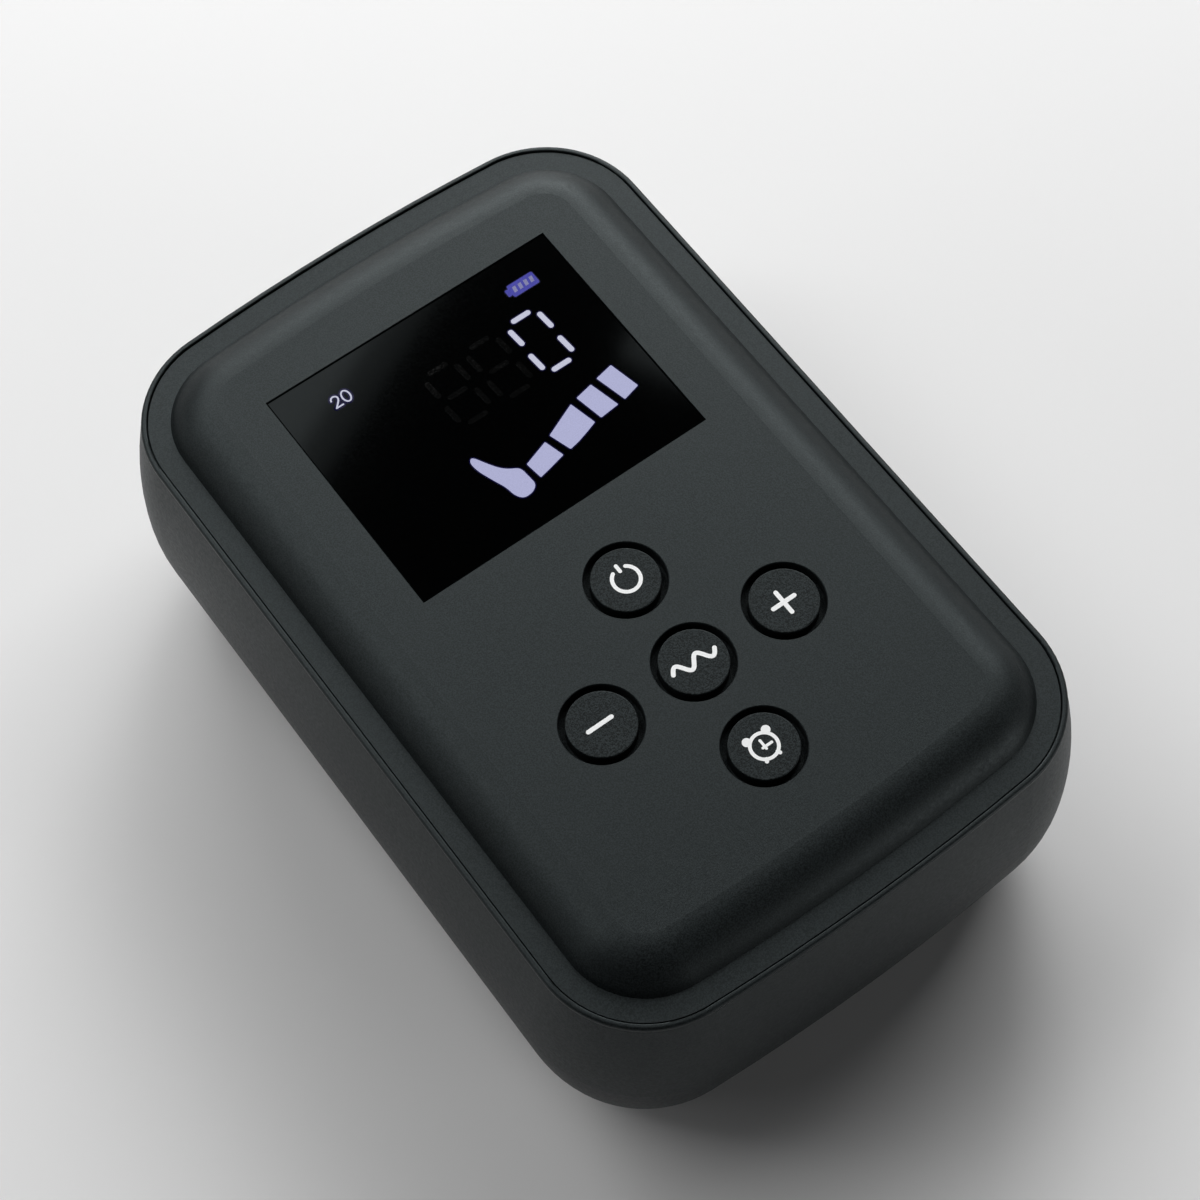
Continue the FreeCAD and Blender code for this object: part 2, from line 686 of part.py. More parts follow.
def make_front_panel():
    body = new_body("Panel")
    pillow = new_sketch(body, "pillow_outline", level=SKIRT_LEVEL)
    draw_outline(pillow, PILLOW_OUTSET)
    pad(body, pillow, f"{PANEL_TOP} - {SKIRT_LEVEL}", "pillow")
    hollow = new_sketch(body, "hollow_outline", level=ROOF)
    draw_outline(hollow, f"{PILLOW_OUTSET} - panel_wall")
    cavity = pocket(body, hollow, "hollow")
    inside = dress(body, "Fillet", cavity, level_edges(cavity, ROOF),
                   "pillow_radius - panel_wall", "hollow_rounding")
    dress(body, "Fillet", inside, level_edges(inside, PANEL_TOP), "pillow_radius",
          "pillow_rounding")
    mid_wall = f"{PILLOW_OUTSET} - 0.7*panel_wall"
    edge = new_sketch(body, "rim_outline", level=HOUSING_TOP)
    draw_outline(edge, "-panel_gap")
    draw_outline(edge, mid_wall)
    pad(body, edge, "rim_edge", "rim")
    plate = new_sketch(body, "rim_plate_outline", level="rim_level - rim_plate")
    draw_outline(plate, "lip_out - wall - skirt_clearance")
    draw_outline(plate, mid_wall)
    rim = pad(body, plate, "rim_plate", "thick_rim")
    dress(body, "Fillet", rim, level_edges(rim, "rim_level"), "rim_round", "rim_rounding")

    board_bosses = new_sketch(body, "board_boss_plan", level="board_level")
    for x, y in BOARD_SCREWS.values():
        draw_circle(board_bosses, x, y, "board_boss")
    pad(body, board_bosses, f"{ROOF} + boss_root - board_level", "board_bosses")
    case_bosses = new_sketch(body, "case_boss_plan", level="pillar_top")
    for x, y in PILLARS.values():
        draw_circle(case_bosses, x, y, "panel_boss")
    pad(body, case_bosses, f"{ROOF} + boss_root - pillar_top", "case_bosses")
    board_pilots = new_sketch(body, "board_pilot_plan", level="board_level")
    for x, y in BOARD_SCREWS.values():
        draw_circle(board_pilots, x, y, "small_screw_radius + screw_fit")
    pocket(body, board_pilots, "board_pilots", length="small_screw_depth", upward=True)
    case_pilots = new_sketch(body, "case_pilot_plan", level="pillar_top")
    for x, y in PILLARS.values():
        draw_circle(case_pilots, x, y, "case_screw_radius + screw_fit")
    pocket(body, case_pilots, "case_pilots", length="case_screw_depth + 2*tip_gap", upward=True)

    recess = new_sketch(body, "lens_recess_outline", level=PANEL_TOP)
    draw_rectangle(recess, "-screen_width/2 - lens_gap", "screen_width/2 + lens_gap",
                   "screen_centre - screen_height/2 - lens_gap",
                   "screen_centre + screen_height/2 + lens_gap")
    pocket(body, recess, "lens_recess", length=f"{PANEL_TOP} - {LENS_SEAT}")
    window = new_sketch(body, "window_outline", level=LENS_SEAT)
    draw_rectangle(window, f"-{WINDOW_X}", WINDOW_X,
                   f"screen_centre - {WINDOW_Y}", f"screen_centre + {WINDOW_Y}")
    pocket(body, window, "window", length="panel_wall")
    holes = new_sketch(body, "key_hole_plan", level=PANEL_TOP)
    for x, y in KEYS.values():
        draw_circle(holes, x, y, "key_radius + key_gap")
    drilled = pocket(body, holes, "key_holes", length="2*panel_wall")
    rims = [name for name in level_edges(drilled, PANEL_TOP, outer=False)
            if isinstance(drilled.getSubObject(name).Curve, Part.Circle)]
    dress(body, "Chamfer", drilled, rims, "key_bevel", "key_hole_bevels")
    return keep(body, "front_panel")


def make_trim_ring():
    """A bead that stands a little proud round the panel and runs flush into the housing."""
    body = new_body("Trim")
    crest = "(rim_level + trim_proud)"
    outside = new_sketch(body, "trim_outside", level=HOUSING_TOP)
    draw_outline(outside, "lip_out")
    pad(body, outside, "rim_edge + trim_proud", "trim_band")
    inside = new_sketch(body, "trim_inside", level=crest)
    draw_outline(inside, "0")
    ring = pocket(body, inside, "trim_opening")
    shoulder = dress(body, "Fillet", ring, level_edges(ring, crest), "trim_round",
                     "trim_shoulder")
    dress(body, "Fillet", shoulder, level_edges(shoulder, crest, outer=False),
          "trim_inner_round", "trim_inner_edge")
    return keep(body, "trim_ring")


# ---------------------------------------------------------------- screen

def frame(name, half_x, half_y, inner_x, inner_y, low, high):
    """A rectangular frame round the screen's centre."""
    outer = box(f"{name}_outer", f"-({half_x})", half_x, f"screen_centre - ({half_y})",
                f"screen_centre + ({half_y})", low, high)
    inner = box(f"{name}_inner", f"-({inner_x})", inner_x, f"screen_centre - ({inner_y})",
                f"screen_centre + ({inner_y})", f"({low}) - 1", f"({high}) + 1")
    return cut(name, outer, inner)


def make_screen():
    body = new_body("Lens")
    outline = new_sketch(body, "lens_outline", level=f"{LENS_SEAT} + tape_thickness")
    draw_rectangle(outline, "-screen_width/2", "screen_width/2",
                   "screen_centre - screen_height/2", "screen_centre + screen_height/2")
    slab = pad(body, outline, "lens_thickness", "lens_slab")
    dress(body, "Chamfer", slab, level_edges(slab, f"{PANEL_TOP} - lens_sink"), "lens_edge",
          "lens_bevel")
    keep(body, "screen_lens")
    keep(frame("tape", "screen_width/2 - tape_inset", "screen_height/2 - tape_inset",
               f"{WINDOW_X} + tape_inset", f"{WINDOW_Y} + tape_inset",
               LENS_SEAT, f"{LENS_SEAT} + tape_thickness"), "lens_tape")
    tray = box("tray_block", f"-{TRAY_X}", TRAY_X, f"screen_centre - {TRAY_Y}",
               f"screen_centre + {TRAY_Y}", f"{DISPLAY_TOP} - display_tray", DISPLAY_TOP)
    well = box("tray_well", f"-({TRAY_X} - tray_wall)", f"{TRAY_X} - tray_wall",
               f"screen_centre - {TRAY_Y} + tray_wall", f"screen_centre + {TRAY_Y} - tray_wall",
               f"{DISPLAY_TOP} - display_glass", f"{DISPLAY_TOP} + 1")
    keep(cut("backlight", tray, well), "backlight_tray")
    keep(box("display", f"-({TRAY_X} - tray_wall - tray_fit)", f"{TRAY_X} - tray_wall - tray_fit",
             f"screen_centre - {TRAY_Y} + tray_wall + tray_fit",
             f"screen_centre + {TRAY_Y} - tray_wall - tray_fit",
             f"{DISPLAY_TOP} - display_glass", DISPLAY_TOP), "display_glass")
    keep(frame("holder", TRAY_X, TRAY_Y, f"{TRAY_X} - holder_rim", f"{TRAY_Y} - holder_rim",
               "board_level", f"{DISPLAY_TOP} - display_tray"), "display_holder")


# ---------------------------------------------------------------- push buttons

def make_button(name, x, y):
    """A key cap with a retaining flange and a stem, turned about its own axis."""
    body = new_body(f"{name}_cap")
    place(body, x, y, "0")
    section = new_sketch(body, f"{name}_section", role="XZ_Plane")
    draw_polygon(section, [
        ("0", STEM_FOOT),
        ("stem_radius", STEM_FOOT),
        ("stem_radius", f"{FLANGE_TOP} - flange_thickness"),
        ("flange_radius", f"{FLANGE_TOP} - flange_thickness"),
        ("flange_radius", FLANGE_TOP),
        ("key_radius", FLANGE_TOP),
        ("key_radius", f"{PANEL_TOP} + key_proud"),
        ("0", f"{PANEL_TOP} + key_proud"),
    ])
    turned = body.newObject("PartDesign::Revolution", f"{name}_turned")
    turned.Profile = section
    turned.ReferenceAxis = (section, ["V_Axis"])
    doc.recompute()
    top = level_edges(turned, f"{PANEL_TOP} + key_proud")
    dress(body, "Fillet", turned, top, "key_round", f"{name}_rounding")
    keep(body, f"{name}_button")
    keep(rod(f"{name}_pin", x, y, f"{SWITCH_TOP} - plunger_in", "plunger_radius",
             f"{STEM_FOOT} - {SWITCH_TOP} + plunger_in"), f"{name}_plunger")


def make_switches():
    """A square switch under each button, with a well for its plunger."""
    switches = []
    for name, (x, y) in KEYS.items():
        case = box(f"{name}_switch_case", f"{x} - switch_side/2", f"{x} + switch_side/2",
                   f"{y} - switch_side/2", f"{y} + switch_side/2", "board_level", SWITCH_TOP)
        well = rod(f"{name}_switch_well", x, y, f"{SWITCH_TOP} - plunger_well",
                   "plunger_radius + slide_fit", "plunger_well + 1")
        switches.append(cut(f"{name}_switch", case, well))
    keep(group("switches", *switches), "tact_switches")


# ---------------------------------------------------------------- circuit board

def make_board():
    body = new_body("Board")
    outline = new_sketch(body, "board_outline", level=BOARD_UNDER)
    draw_rectangle(outline, f"-{BOARD_X}", BOARD_X, f"-{BOARD_Y}", BOARD_Y)
    slab = pad(body, outline, "board_thickness", "board_slab")
    corners = [f"Edge{number}" for number, edge in enumerate(slab.Shape.Edges, 1)
               if edge.BoundBox.ZLength > value("board_thickness") / 2]
    dress(body, "Fillet", slab, corners, "board_corner", "board_corners")
    holes = new_sketch(body, "board_hole_plan", level="board_level")
    for x, y in BOARD_SCREWS.values():
        draw_circle(holes, x, y, "small_screw_radius + screw_fit")
    pocket(body, holes, "board_holes")
    keep(body, "main_board")
    keep(box("chip", "-chip_side/2", "chip_side/2", "-chip_side/2", "chip_side/2",
             f"{BOARD_UNDER} - chip_height", BOARD_UNDER), "controller_chip")
    keep(rod("sounder", f"buzzer_radius + buzzer_margin - {BOARD_X}", "buzzer_y",
             f"{BOARD_UNDER} - buzzer_height", "buzzer_radius", "buzzer_height"), "buzzer")
    sensor_under = f"({BOARD_UNDER} - sensor_height)"
    sensor = box("sensor_case", "sensor_x - sensor_width/2", "sensor_x + sensor_width/2",
                 f"{MANIFOLD_MID} - sensor_depth/2", f"{MANIFOLD_MID} + sensor_depth/2",
                 sensor_under, BOARD_UNDER)
    spout = rod("sensor_spout", "sensor_x", MANIFOLD_MID, f"{sensor_under} - spout_length",
                "sensor_tube_bore - slide_fit", "spout_length + sensor_height/2")
    keep(fuse("sensor", sensor, spout), "pressure_sensor")
    keep(socket("battery_plug", CELL_2_X, GUARD_MID), "battery_socket")
    keep(socket("motor_plug", PUMP_X, MOTOR_LEAD_Y), "motor_socket")


def socket(name, x, lead_y):
    """A socket under the board, with a pair of leads coming up at its near side."""
    return box(name, f"{x} - socket_width/2", f"{x} + socket_width/2", f"{lead_y} - socket_wall",
               f"{lead_y} - socket_wall + socket_depth", SOCKET_LEVEL, BOARD_UNDER)


# ---------------------------------------------------------------- battery pack

GUARD_MID = "(battery_end - guard_gap - guard_thickness/2)"
MOTOR_LEAD_Y = "(motor_end - motor_lead_gap)"
CELLS = {"1": CELL_1_X, "2": CELL_2_X}


def flat_oval(name, radius, start, length):
    """A stadium-shaped bar round both cells."""
    ends = [rod(f"{name}_{key}", x, start, BATTERY_LEVEL, radius, length, "Y")
            for key, x in CELLS.items()]
    middle = box(f"{name}_middle", CELL_1_X, CELL_2_X, start,
                 f"{start} + {length}", f"{BATTERY_LEVEL} - {radius}", f"{BATTERY_LEVEL} + {radius}")
    return fuse(name, middle, *ends)


def make_battery():
    for key, x in CELLS.items():
        keep(rod(f"cell_{key}", x, "battery_end", BATTERY_LEVEL, CELL_RADIUS, "cell_length", "Y"),
             f"battery_cell_{key}")
    sleeve = flat_oval("sleeve", WRAP_RADIUS, "battery_end", "cell_length")
    bore = flat_oval("sleeve_bore", f"({CELL_RADIUS} + wrap_gap)", "battery_end - 1", "cell_length + 2")
    keep(cut("wrap", sleeve, bore), "battery_wrap")
    tray = box("cradle_block", f"{CELL_1_X} - {WRAP_RADIUS} + cradle_left",
               f"{CELL_2_X} + {WRAP_RADIUS} - cradle_right",
               "battery_end", "battery_end + cell_length", FLOOR, f"{FLOOR} + cradle_height")
    hollow = flat_oval("cradle_hollow", f"({WRAP_RADIUS} + cradle_fit)", "battery_end - 1",
                       "cell_length + 2")
    keep(cut("cradle", tray, hollow), "battery_cradle")
    keep(box("guard", f"{CELL_1_X} - {CELL_RADIUS}", f"{CELL_2_X} + {CELL_RADIUS}",
             f"{GUARD_MID} - guard_thickness/2", f"{GUARD_MID} + guard_thickness/2",
             f"{BATTERY_LEVEL} - guard_height/2", f"{BATTERY_LEVEL} + guard_height/2"),
         "protection_board")
    leads = [rod(f"battery_lead_{side}", f"{CELL_2_X} {sign} lead_pitch/2", GUARD_MID,
                 f"{BATTERY_LEVEL} + guard_height/2", "lead_radius",
                 f"{SOCKET_LEVEL} - {BATTERY_LEVEL} - guard_height/2")
             for side, sign in (("left", "-"), ("right", "+"))]
    keep(group("battery_leads", *leads), "battery_cable")


# ---------------------------------------------------------------- motor and pump

def elbow(name, x, near, bend, far, radius, bore=None):
    """A tube in a plane of constant x: level from near, one bend, then upright to far."""
    body = new_body(name)
    start_y, start_z = value(near[0]), value(near[1])
    end_y, end_z = value(far[0]), value(far[1])
    turn = value(bend)
    ahead = 1 if end_y > start_y else -1
    rise = 1 if end_z > start_z else -1
    path = new_sketch(body, f"{name}_path", role="YZ_Plane", level=x)
    quarter = {(1, -1): (0, math.pi / 2), (-1, 1): (math.pi, 1.5 * math.pi)}[(ahead, rise)]
    path.addGeometry([
        line(start_y, start_z, end_y - ahead * turn, start_z),
        arc(end_y - ahead * turn, start_z + rise * turn, turn, *quarter),
        line(end_y, start_z + rise * turn, end_y, end_z),
    ], False)
    rule(path, "Tangent", 0, 2, 1, 2)
    rule(path, "Tangent", 1, 1, 2, 1)
    rule(path, "Horizontal", 0)
    rule(path, "Vertical", 2)
    fix_point(path, 0, 1, *near)
    fix_point(path, 2, 2, *far)
    rule(path, "Radius", 1, turn, size=bend)
    doc.recompute()
    ring = new_sketch(body, f"{name}_ring", role="XZ_Plane", level=f"-({near[0]})")
    draw_circle(ring, x, near[1], radius)
    doc.recompute()
    pipe = body.newObject("PartDesign::AdditivePipe", f"{name}_pipe")
    pipe.Profile = ring
    pipe.Spine = (path, ["Edge1", "Edge2", "Edge3"])
    doc.recompute()
    if bore:
        hole = new_sketch(body, f"{name}_hole", role="XZ_Plane", level=f"-({near[0]})")
        draw_circle(hole, x, near[1], bore)
        doc.recompute()
        lumen = body.newObject("PartDesign::SubtractivePipe", f"{name}_lumen")
        lumen.Profile = hole
        lumen.Spine = (path, ["Edge1", "Edge2", "Edge3"])
        doc.recompute()
    return body


def square_block(name, side, start, length):
    """A square block on the pump's axis with its four long edges cut off."""
    body = new_body(name)
    outline = new_sketch(body, f"{name}_outline", role="XZ_Plane", level=f"-({start})")
    low_x, high_x = f"{PUMP_X} - {side}/2", f"{PUMP_X} + {side}/2"
    low_z, high_z = f"pump_level - {side}/2", f"pump_level + {side}/2"
    draw_polygon(outline, [
        (f"{low_x} + corner_cut", low_z), (f"{high_x} - corner_cut", low_z),
        (high_x, f"{low_z} + corner_cut"), (high_x, f"{high_z} - corner_cut"),
        (f"{high_x} - corner_cut", high_z), (f"{low_x} + corner_cut", high_z),
        (low_x, f"{high_z} - corner_cut"), (low_x, f"{low_z} + corner_cut"),
    ])
    block = pad(body, outline, length, f"{name}_block")
    block.Reversed = True
    doc.recompute()
    return body


def make_pump():
    can = rod("can", PUMP_X, "motor_end", "pump_level", "motor_radius", "motor_length", "Y")
    flats = [box(f"can_flat_{side}", f"{PUMP_X} - 2*motor_radius", f"{PUMP_X} + 2*motor_radius",
                 "motor_end - 1", f"{PUMP_FRONT} + 1", low, high)
             for side, low, high in (("low", "pump_level - 2*motor_radius", "pump_level - motor_flat"),
                                     ("high", "pump_level + motor_flat", "pump_level + 2*motor_radius"))]
    bore = rod("can_bore", PUMP_X, f"{PUMP_FRONT} - shaft_depth - shaft_end_gap", "pump_level",
               "shaft_radius + shaft_fit", "shaft_depth + 2*shaft_end_gap", "Y")
    keep(cut("motor", can, *flats, bore), "pump_motor")
    shaft = rod("spindle", PUMP_X, f"{PUMP_FRONT} - shaft_depth", "pump_level", "shaft_radius",
                "shaft_depth + crank_gap + crank_length", "Y")
    wheel = rod("wheel", PUMP_X, f"{PUMP_FRONT} + crank_gap", "pump_level", "crank_radius",
                "crank_length", "Y")
    pin = rod("wheel_pin", f"{PUMP_X} + crank_pin_offset",
              f"{PUMP_FRONT} + crank_gap + crank_length", "pump_level", "crank_pin_radius",
              "crank_pin_length", "Y")
    keep(fuse("rotor", shaft, wheel, pin), "crank_shaft")
    case = square_block("crankcase", "crankcase_side", PUMP_FRONT, "crankcase_length")
    chamber = rod("chamber", PUMP_X, f"{PUMP_FRONT} - 1", "pump_level", "crankcase_bore",
                  "crankcase_length - crankcase_floor + 1", "Y")
    keep(cut("crank_housing", case, chamber), "pump_crankcase")
    keep(square_block("membrane", "crankcase_side", DIAPHRAGM_AT, "diaphragm_thickness"),
         "pump_diaphragm")
    head = square_block("head_block", "crankcase_side", HEAD_AT, "head_length")
    spout = rod("head_spout", PUMP_X, f"{NOZZLE_AT} - 1", "pump_level + nozzle_up",
                "barb_radius", "barb_length + 1", "Y")
    lumen = rod("head_lumen", PUMP_X, f"{NOZZLE_AT} - nozzle_depth", "pump_level + nozzle_up",
                "barb_bore", "nozzle_depth + barb_length + 1", "Y")
    keep(cut("head", fuse("head_parts", head, spout), lumen), "pump_head")

    saddle = box("saddle_block", f"{PUMP_X} - saddle_half", f"{PUMP_X} + saddle_half",
                 f"{BRACKET_Y} - saddle_length/2", f"{BRACKET_Y} + saddle_length/2",
                 FLOOR, "pump_level - motor_flat")
    keep(saddle, "pump_saddle")
    half = "bracket_width/2"
    arch = rod("arch", PUMP_X, f"{BRACKET_Y} - {half}", "pump_level",
               BRACKET_ARCH, "bracket_width", "Y")
    legs = box("arch_legs", f"{PUMP_X} - {BRACKET_ARCH}", f"{PUMP_X} + {BRACKET_ARCH}",
               f"{BRACKET_Y} - {half}", f"{BRACKET_Y} + {half}", "bracket_level", "pump_level")
    feet = box("arch_feet", f"{PUMP_X} - {BRACKET_REACH}", f"{PUMP_X} + {BRACKET_REACH}",
               f"{BRACKET_Y} - {half}", f"{BRACKET_Y} + {half}", "bracket_level",
               "bracket_level + bracket_thickness")
    hollow = rod("arch_hollow", PUMP_X, f"{BRACKET_Y} - bracket_width", "pump_level",
                 "motor_radius + bracket_gap", "2*bracket_width", "Y")
    below = box("arch_below", f"{PUMP_X} - motor_radius - bracket_gap",
                f"{PUMP_X} + motor_radius + bracket_gap", f"{BRACKET_Y} - bracket_width",
                f"{BRACKET_Y} + bracket_width", "0", "pump_level")
    under = box("arch_under", f"{PUMP_X} - 3*motor_radius", f"{PUMP_X} + 3*motor_radius",
                f"{BRACKET_Y} - bracket_width", f"{BRACKET_Y} + bracket_width", "-1",
                "bracket_level")
    holes = [rod(f"bracket_hole_{side}", x, BRACKET_Y, "bracket_level - 1",
                 "small_screw_radius + screw_fit", "bracket_thickness + 2")
             for side, x in BRACKET_SCREWS.items()]
    keep(cut("bracket", fuse("arch_parts", arch, legs, feet), hollow, below, under, *holes),
         "pump_bracket")

    wires = [elbow(f"motor_lead_{side}", f"{PUMP_X} {sign} lead_pitch", ("motor_end", "pump_level"),
                   "motor_lead_bend", (MOTOR_LEAD_Y, SOCKET_LEVEL), "lead_radius")
             for side, sign in (("left", "-"), ("right", "+"))]
    keep(group("motor_leads", *wires), "motor_cable")
    keep(elbow("hose", PUMP_X, (f"{NOZZLE_AT} + end_gap", "pump_level + nozzle_up"), "tube_bend",
               (MANIFOLD_MID, f"{MANIFOLD_TOP} + end_gap"), "tube_outer", "tube_bore"), "pump_tube")


# ---------------------------------------------------------------- manifold and valves

def passages(name, start, length, ports=PORTS):
    """Two small air passages per valve: one from the gallery, one to the outlet port."""
    return [rod(f"{name}_{side}_{number}", x, start, f"{VALVE_AXIS} {sign} passage_offset",
                "passage_radius", length, "Y")
            for number, x in enumerate(ports, 1) for side, sign in (("out", "-"), ("feed", "+"))]


def make_manifold():
    block = box("manifold_block", "-manifold_half", "manifold_half", "manifold_front",
                "manifold_front + manifold_depth", "manifold_level", MANIFOLD_TOP)
    spigots = [rod(f"spigot_{number}", x, MANIFOLD_MID, "foot_proud", "spigot_radius",
                   "manifold_level - foot_proud + 1") for number, x in enumerate(PORTS, 1)]
    barbs = [rod("inlet_barb", PUMP_X, MANIFOLD_MID, f"{MANIFOLD_TOP} - 1", "barb_radius",
                 "barb_length + 1"),
             rod("sense_barb", "sensor_x", MANIFOLD_MID, f"{MANIFOLD_TOP} - 1",
                 "sensor_tube_bore - slide_fit", "barb_length + 1")]
    bores = [rod(f"port_bore_{number}", x, MANIFOLD_MID, "foot_proud - 1", "port_radius",
                 "port_depth + 1") for number, x in enumerate(PORTS, 1)]
    above = f"{MANIFOLD_TOP} - {GALLERY_LEVEL} + barb_length + 1"
    bores += [rod("inlet_bore", PUMP_X, MANIFOLD_MID, GALLERY_LEVEL, "barb_bore", above),
              rod("sense_bore", "sensor_x", MANIFOLD_MID, GALLERY_LEVEL, "sensor_barb_bore", above),
              rod("gallery", "-gallery_half", MANIFOLD_MID, GALLERY_LEVEL, "gallery_radius",
                  "2*gallery_half", "X")]
    bores += passages("manifold_passage", "manifold_front - 1", "manifold_depth/2 + 1")
    bores += [rod(f"manifold_hole_{side}", x, MANIFOLD_MID, "manifold_level - 1",
                  "small_screw_radius + screw_fit", "manifold_height + 2")
              for side, x in MANIFOLD_SCREWS.items()]
    keep(cut("manifold", fuse("manifold_parts", block, *spigots, *barbs), *bores), "air_manifold")
    hose = rod("sense_hose", "sensor_x", MANIFOLD_MID, f"{MANIFOLD_TOP} + end_gap",
               "sensor_tube_outer",
               f"{BOARD_UNDER} - sensor_height - {MANIFOLD_TOP} - 2*end_gap")
    hole = rod("sense_hole", "sensor_x", MANIFOLD_MID, MANIFOLD_TOP, "sensor_tube_bore",
               f"{BOARD_UNDER} - {MANIFOLD_TOP}")
    keep(cut("sense_tube", hose, hole), "sensor_tube")


def make_valve(number, x):
    """A solenoid valve: a coil between two yoke plates, with a sliding armature inside."""
    back, front = "(manifold_front - valve_length)", "manifold_front"
    low, high = f"{x} - valve_width/2", f"{x} + valve_width/2"
    top = f"{VALVE_LEVEL} + valve_height"
    coil = rod(f"coil_{number}", x, f"{back} + yoke_thickness/2", VALVE_AXIS, "coil_radius",
               "valve_length - yoke_thickness", "Y")
    plates = [box(f"yoke_back_{number}", low, high, back, f"{back} + yoke_thickness",
                  VALVE_LEVEL, top),
              box(f"yoke_front_{number}", low, high, f"{front} - armature_seat", front,
                  VALVE_LEVEL, top),
              box(f"yoke_top_{number}", low, high, back, front, f"{top} - yoke_thickness", top)]
    seat = f"{front} - armature_seat"
    well = rod(f"valve_well_{number}", x, f"{seat} - armature_length - armature_travel - slide_fit*4",
               VALVE_AXIS, "armature_radius + slide_fit",
               "armature_length + armature_travel + slide_fit*5", "Y")
    orifices = passages(f"valve_passage_{number}", seat, "armature_seat + 1", [x])
    keep(cut(f"solenoid_{number}", fuse(f"solenoid_parts_{number}", coil, *plates), well,
             *orifices), f"valve_{number}")
    keep(rod(f"armature_{number}", x, f"{seat} - armature_length", VALVE_AXIS, "armature_radius",
             "armature_length", "Y"), f"valve_armature_{number}")


# ---------------------------------------------------------------- charging inlet

def make_inlet():
    back = f"({INLET_MOUTH} - inlet_depth)"
    body = new_body("Inlet")
    outline = new_sketch(body, "inlet_plan", role="XZ_Plane", level=f"-{back}")
    draw_rectangle(outline, "-inlet_width/2", "inlet_width/2", INLET_BOTTOM,
                   f"{INLET_BOTTOM} + inlet_height")
    block = pad(body, outline, "inlet_depth", "inlet_block")
    block.Reversed = True
    doc.recompute()
    long_edges = [f"Edge{number}" for number, edge in enumerate(block.Shape.Edges, 1)
                  if edge.BoundBox.YLength > value("inlet_depth") / 2]
    dress(body, "Fillet", block, long_edges, "inlet_height/2 - inlet_skin", "inlet_corners")
    hollow = new_sketch(body, "inlet_hollow_plan", role="XZ_Plane",
                        level=f"-({back} + inlet_floor)")
    draw_rectangle(hollow, "-inlet_width/2 + inlet_skin + 0.9", "inlet_width/2 - inlet_skin - 0.9",
                   f"{INLET_BOTTOM} + inlet_skin", f"{INLET_BOTTOM} + inlet_height - inlet_skin")
    pocket(body, hollow, "inlet_hollow", length="inlet_depth")
    tongue = new_sketch(body, "tongue_plan", role="XZ_Plane", level=f"-{back}")
    draw_rectangle(tongue, "-tongue_width/2", "tongue_width/2", "belly_level - tongue_thickness/2",
                   "belly_level + tongue_thickness/2")
    slab = pad(body, tongue, "inlet_floor + tongue_depth", "tongue")
    slab.Reversed = True
    doc.recompute()
    keep(body, "charging_inlet")
    keep(box("charger", "-ledge_half + 1", "ledge_half - 1", f"{back} - charge_board_behind",
             f"{BELLY_Y} - wall - charge_board_gap", LEDGE_TOP, INLET_BOTTOM), "charge_board")


# ---------------------------------------------------------------- screws and feet

def screw(name, x, y, seat, head_radius, head, radius, depth, upward=True):
    """A plain pan-head screw; its head lies on the far side of the seat from its tip."""
    head_low = f"({seat}) - ({head})" if upward else f"({seat})"
    shank_low = f"({seat}) - 0.1" if upward else f"({seat}) - ({depth})"
    cap = rod(f"{name}_head", x, y, head_low, head_radius, head)
    shank = rod(f"{name}_shank", x, y, shank_low, radius, f"({depth}) + 0.1")
    return fuse(name, cap, shank)


def make_fasteners():
    case = [screw(f"case_screw_{key}", x, y, "case_seat", "case_head_radius", "case_head",
                  "case_screw_radius", "pillar_top - case_seat + case_screw_depth")
            for key, (x, y) in PILLARS.items()]
    keep(group("case_screw_set", *case), "case_screws")
    board = [screw(f"board_screw_{key}", x, y, BOARD_UNDER, "small_head_radius", "small_head",
                   "small_screw_radius", "board_thickness + small_screw_depth - tip_gap")
             for key, (x, y) in BOARD_SCREWS.items()]
    keep(group("board_screw_set", *board), "board_screws")
    manifold = [screw(f"manifold_screw_{side}", x, MANIFOLD_MID, MANIFOLD_TOP, "small_head_radius",
                      "small_head", "small_screw_radius",
                      f"{MANIFOLD_TOP} - foot_proud - wall/2 - tip_gap", upward=False)
                for side, x in MANIFOLD_SCREWS.items()]
    keep(group("manifold_screw_set", *manifold), "manifold_screws")
    bracket = [screw(f"bracket_screw_{side}", x, BRACKET_Y, "bracket_level + bracket_thickness",
                     "small_head_radius", "small_head", "small_screw_radius",
                     "bracket_thickness + bracket_level - foot_proud - wall/2 - tip_gap",
                     upward=False)
               for side, x in BRACKET_SCREWS.items()]
    keep(group("bracket_screw_set", *bracket), "bracket_screws")


def make_feet():
    feet = [rod(f"foot_{key}", x, y, "0", "foot_radius", "foot_proud + foot_sink")
            for key, (x, y) in PILLARS.items()]
    keep(group("foot_set", *feet), "rubber_feet")


# ---------------------------------------------------------------- build, check and write

make_rear_housing()
make_front_panel()
make_trim_ring()
make_screen()
for key_name, (key_x, key_y) in KEYS.items():
    make_button(key_name, key_x, key_y)
make_switches()
make_board()
make_battery()
make_pump()
make_manifold()
for valve_number, valve_x in enumerate(PORTS, 1):
    make_valve(valve_number, valve_x)
make_inlet()
make_fasteners()
make_feet()
doc.recompute()

faults = [item.Name for item in doc.Objects if "Invalid" in item.State or "Error" in item.State]
faults += [item.Label for item in nodes if item.Shape.isNull() or not item.Shape.isValid()]
if faults:
    raise RuntimeError(f"these did not build: {', '.join(faults)}")

os.makedirs("parts", exist_ok=True)
for item in nodes:
    item.Shape.exportStep(f"parts/{item.Label}.step")
    print(f"{item.Label}: {len(item.Shape.Solids)} solid(s), {item.Shape.Volume:.1f} mm3")
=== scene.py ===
import json
import math

import bmesh
import bpy
from mathutils import Matrix, Vector


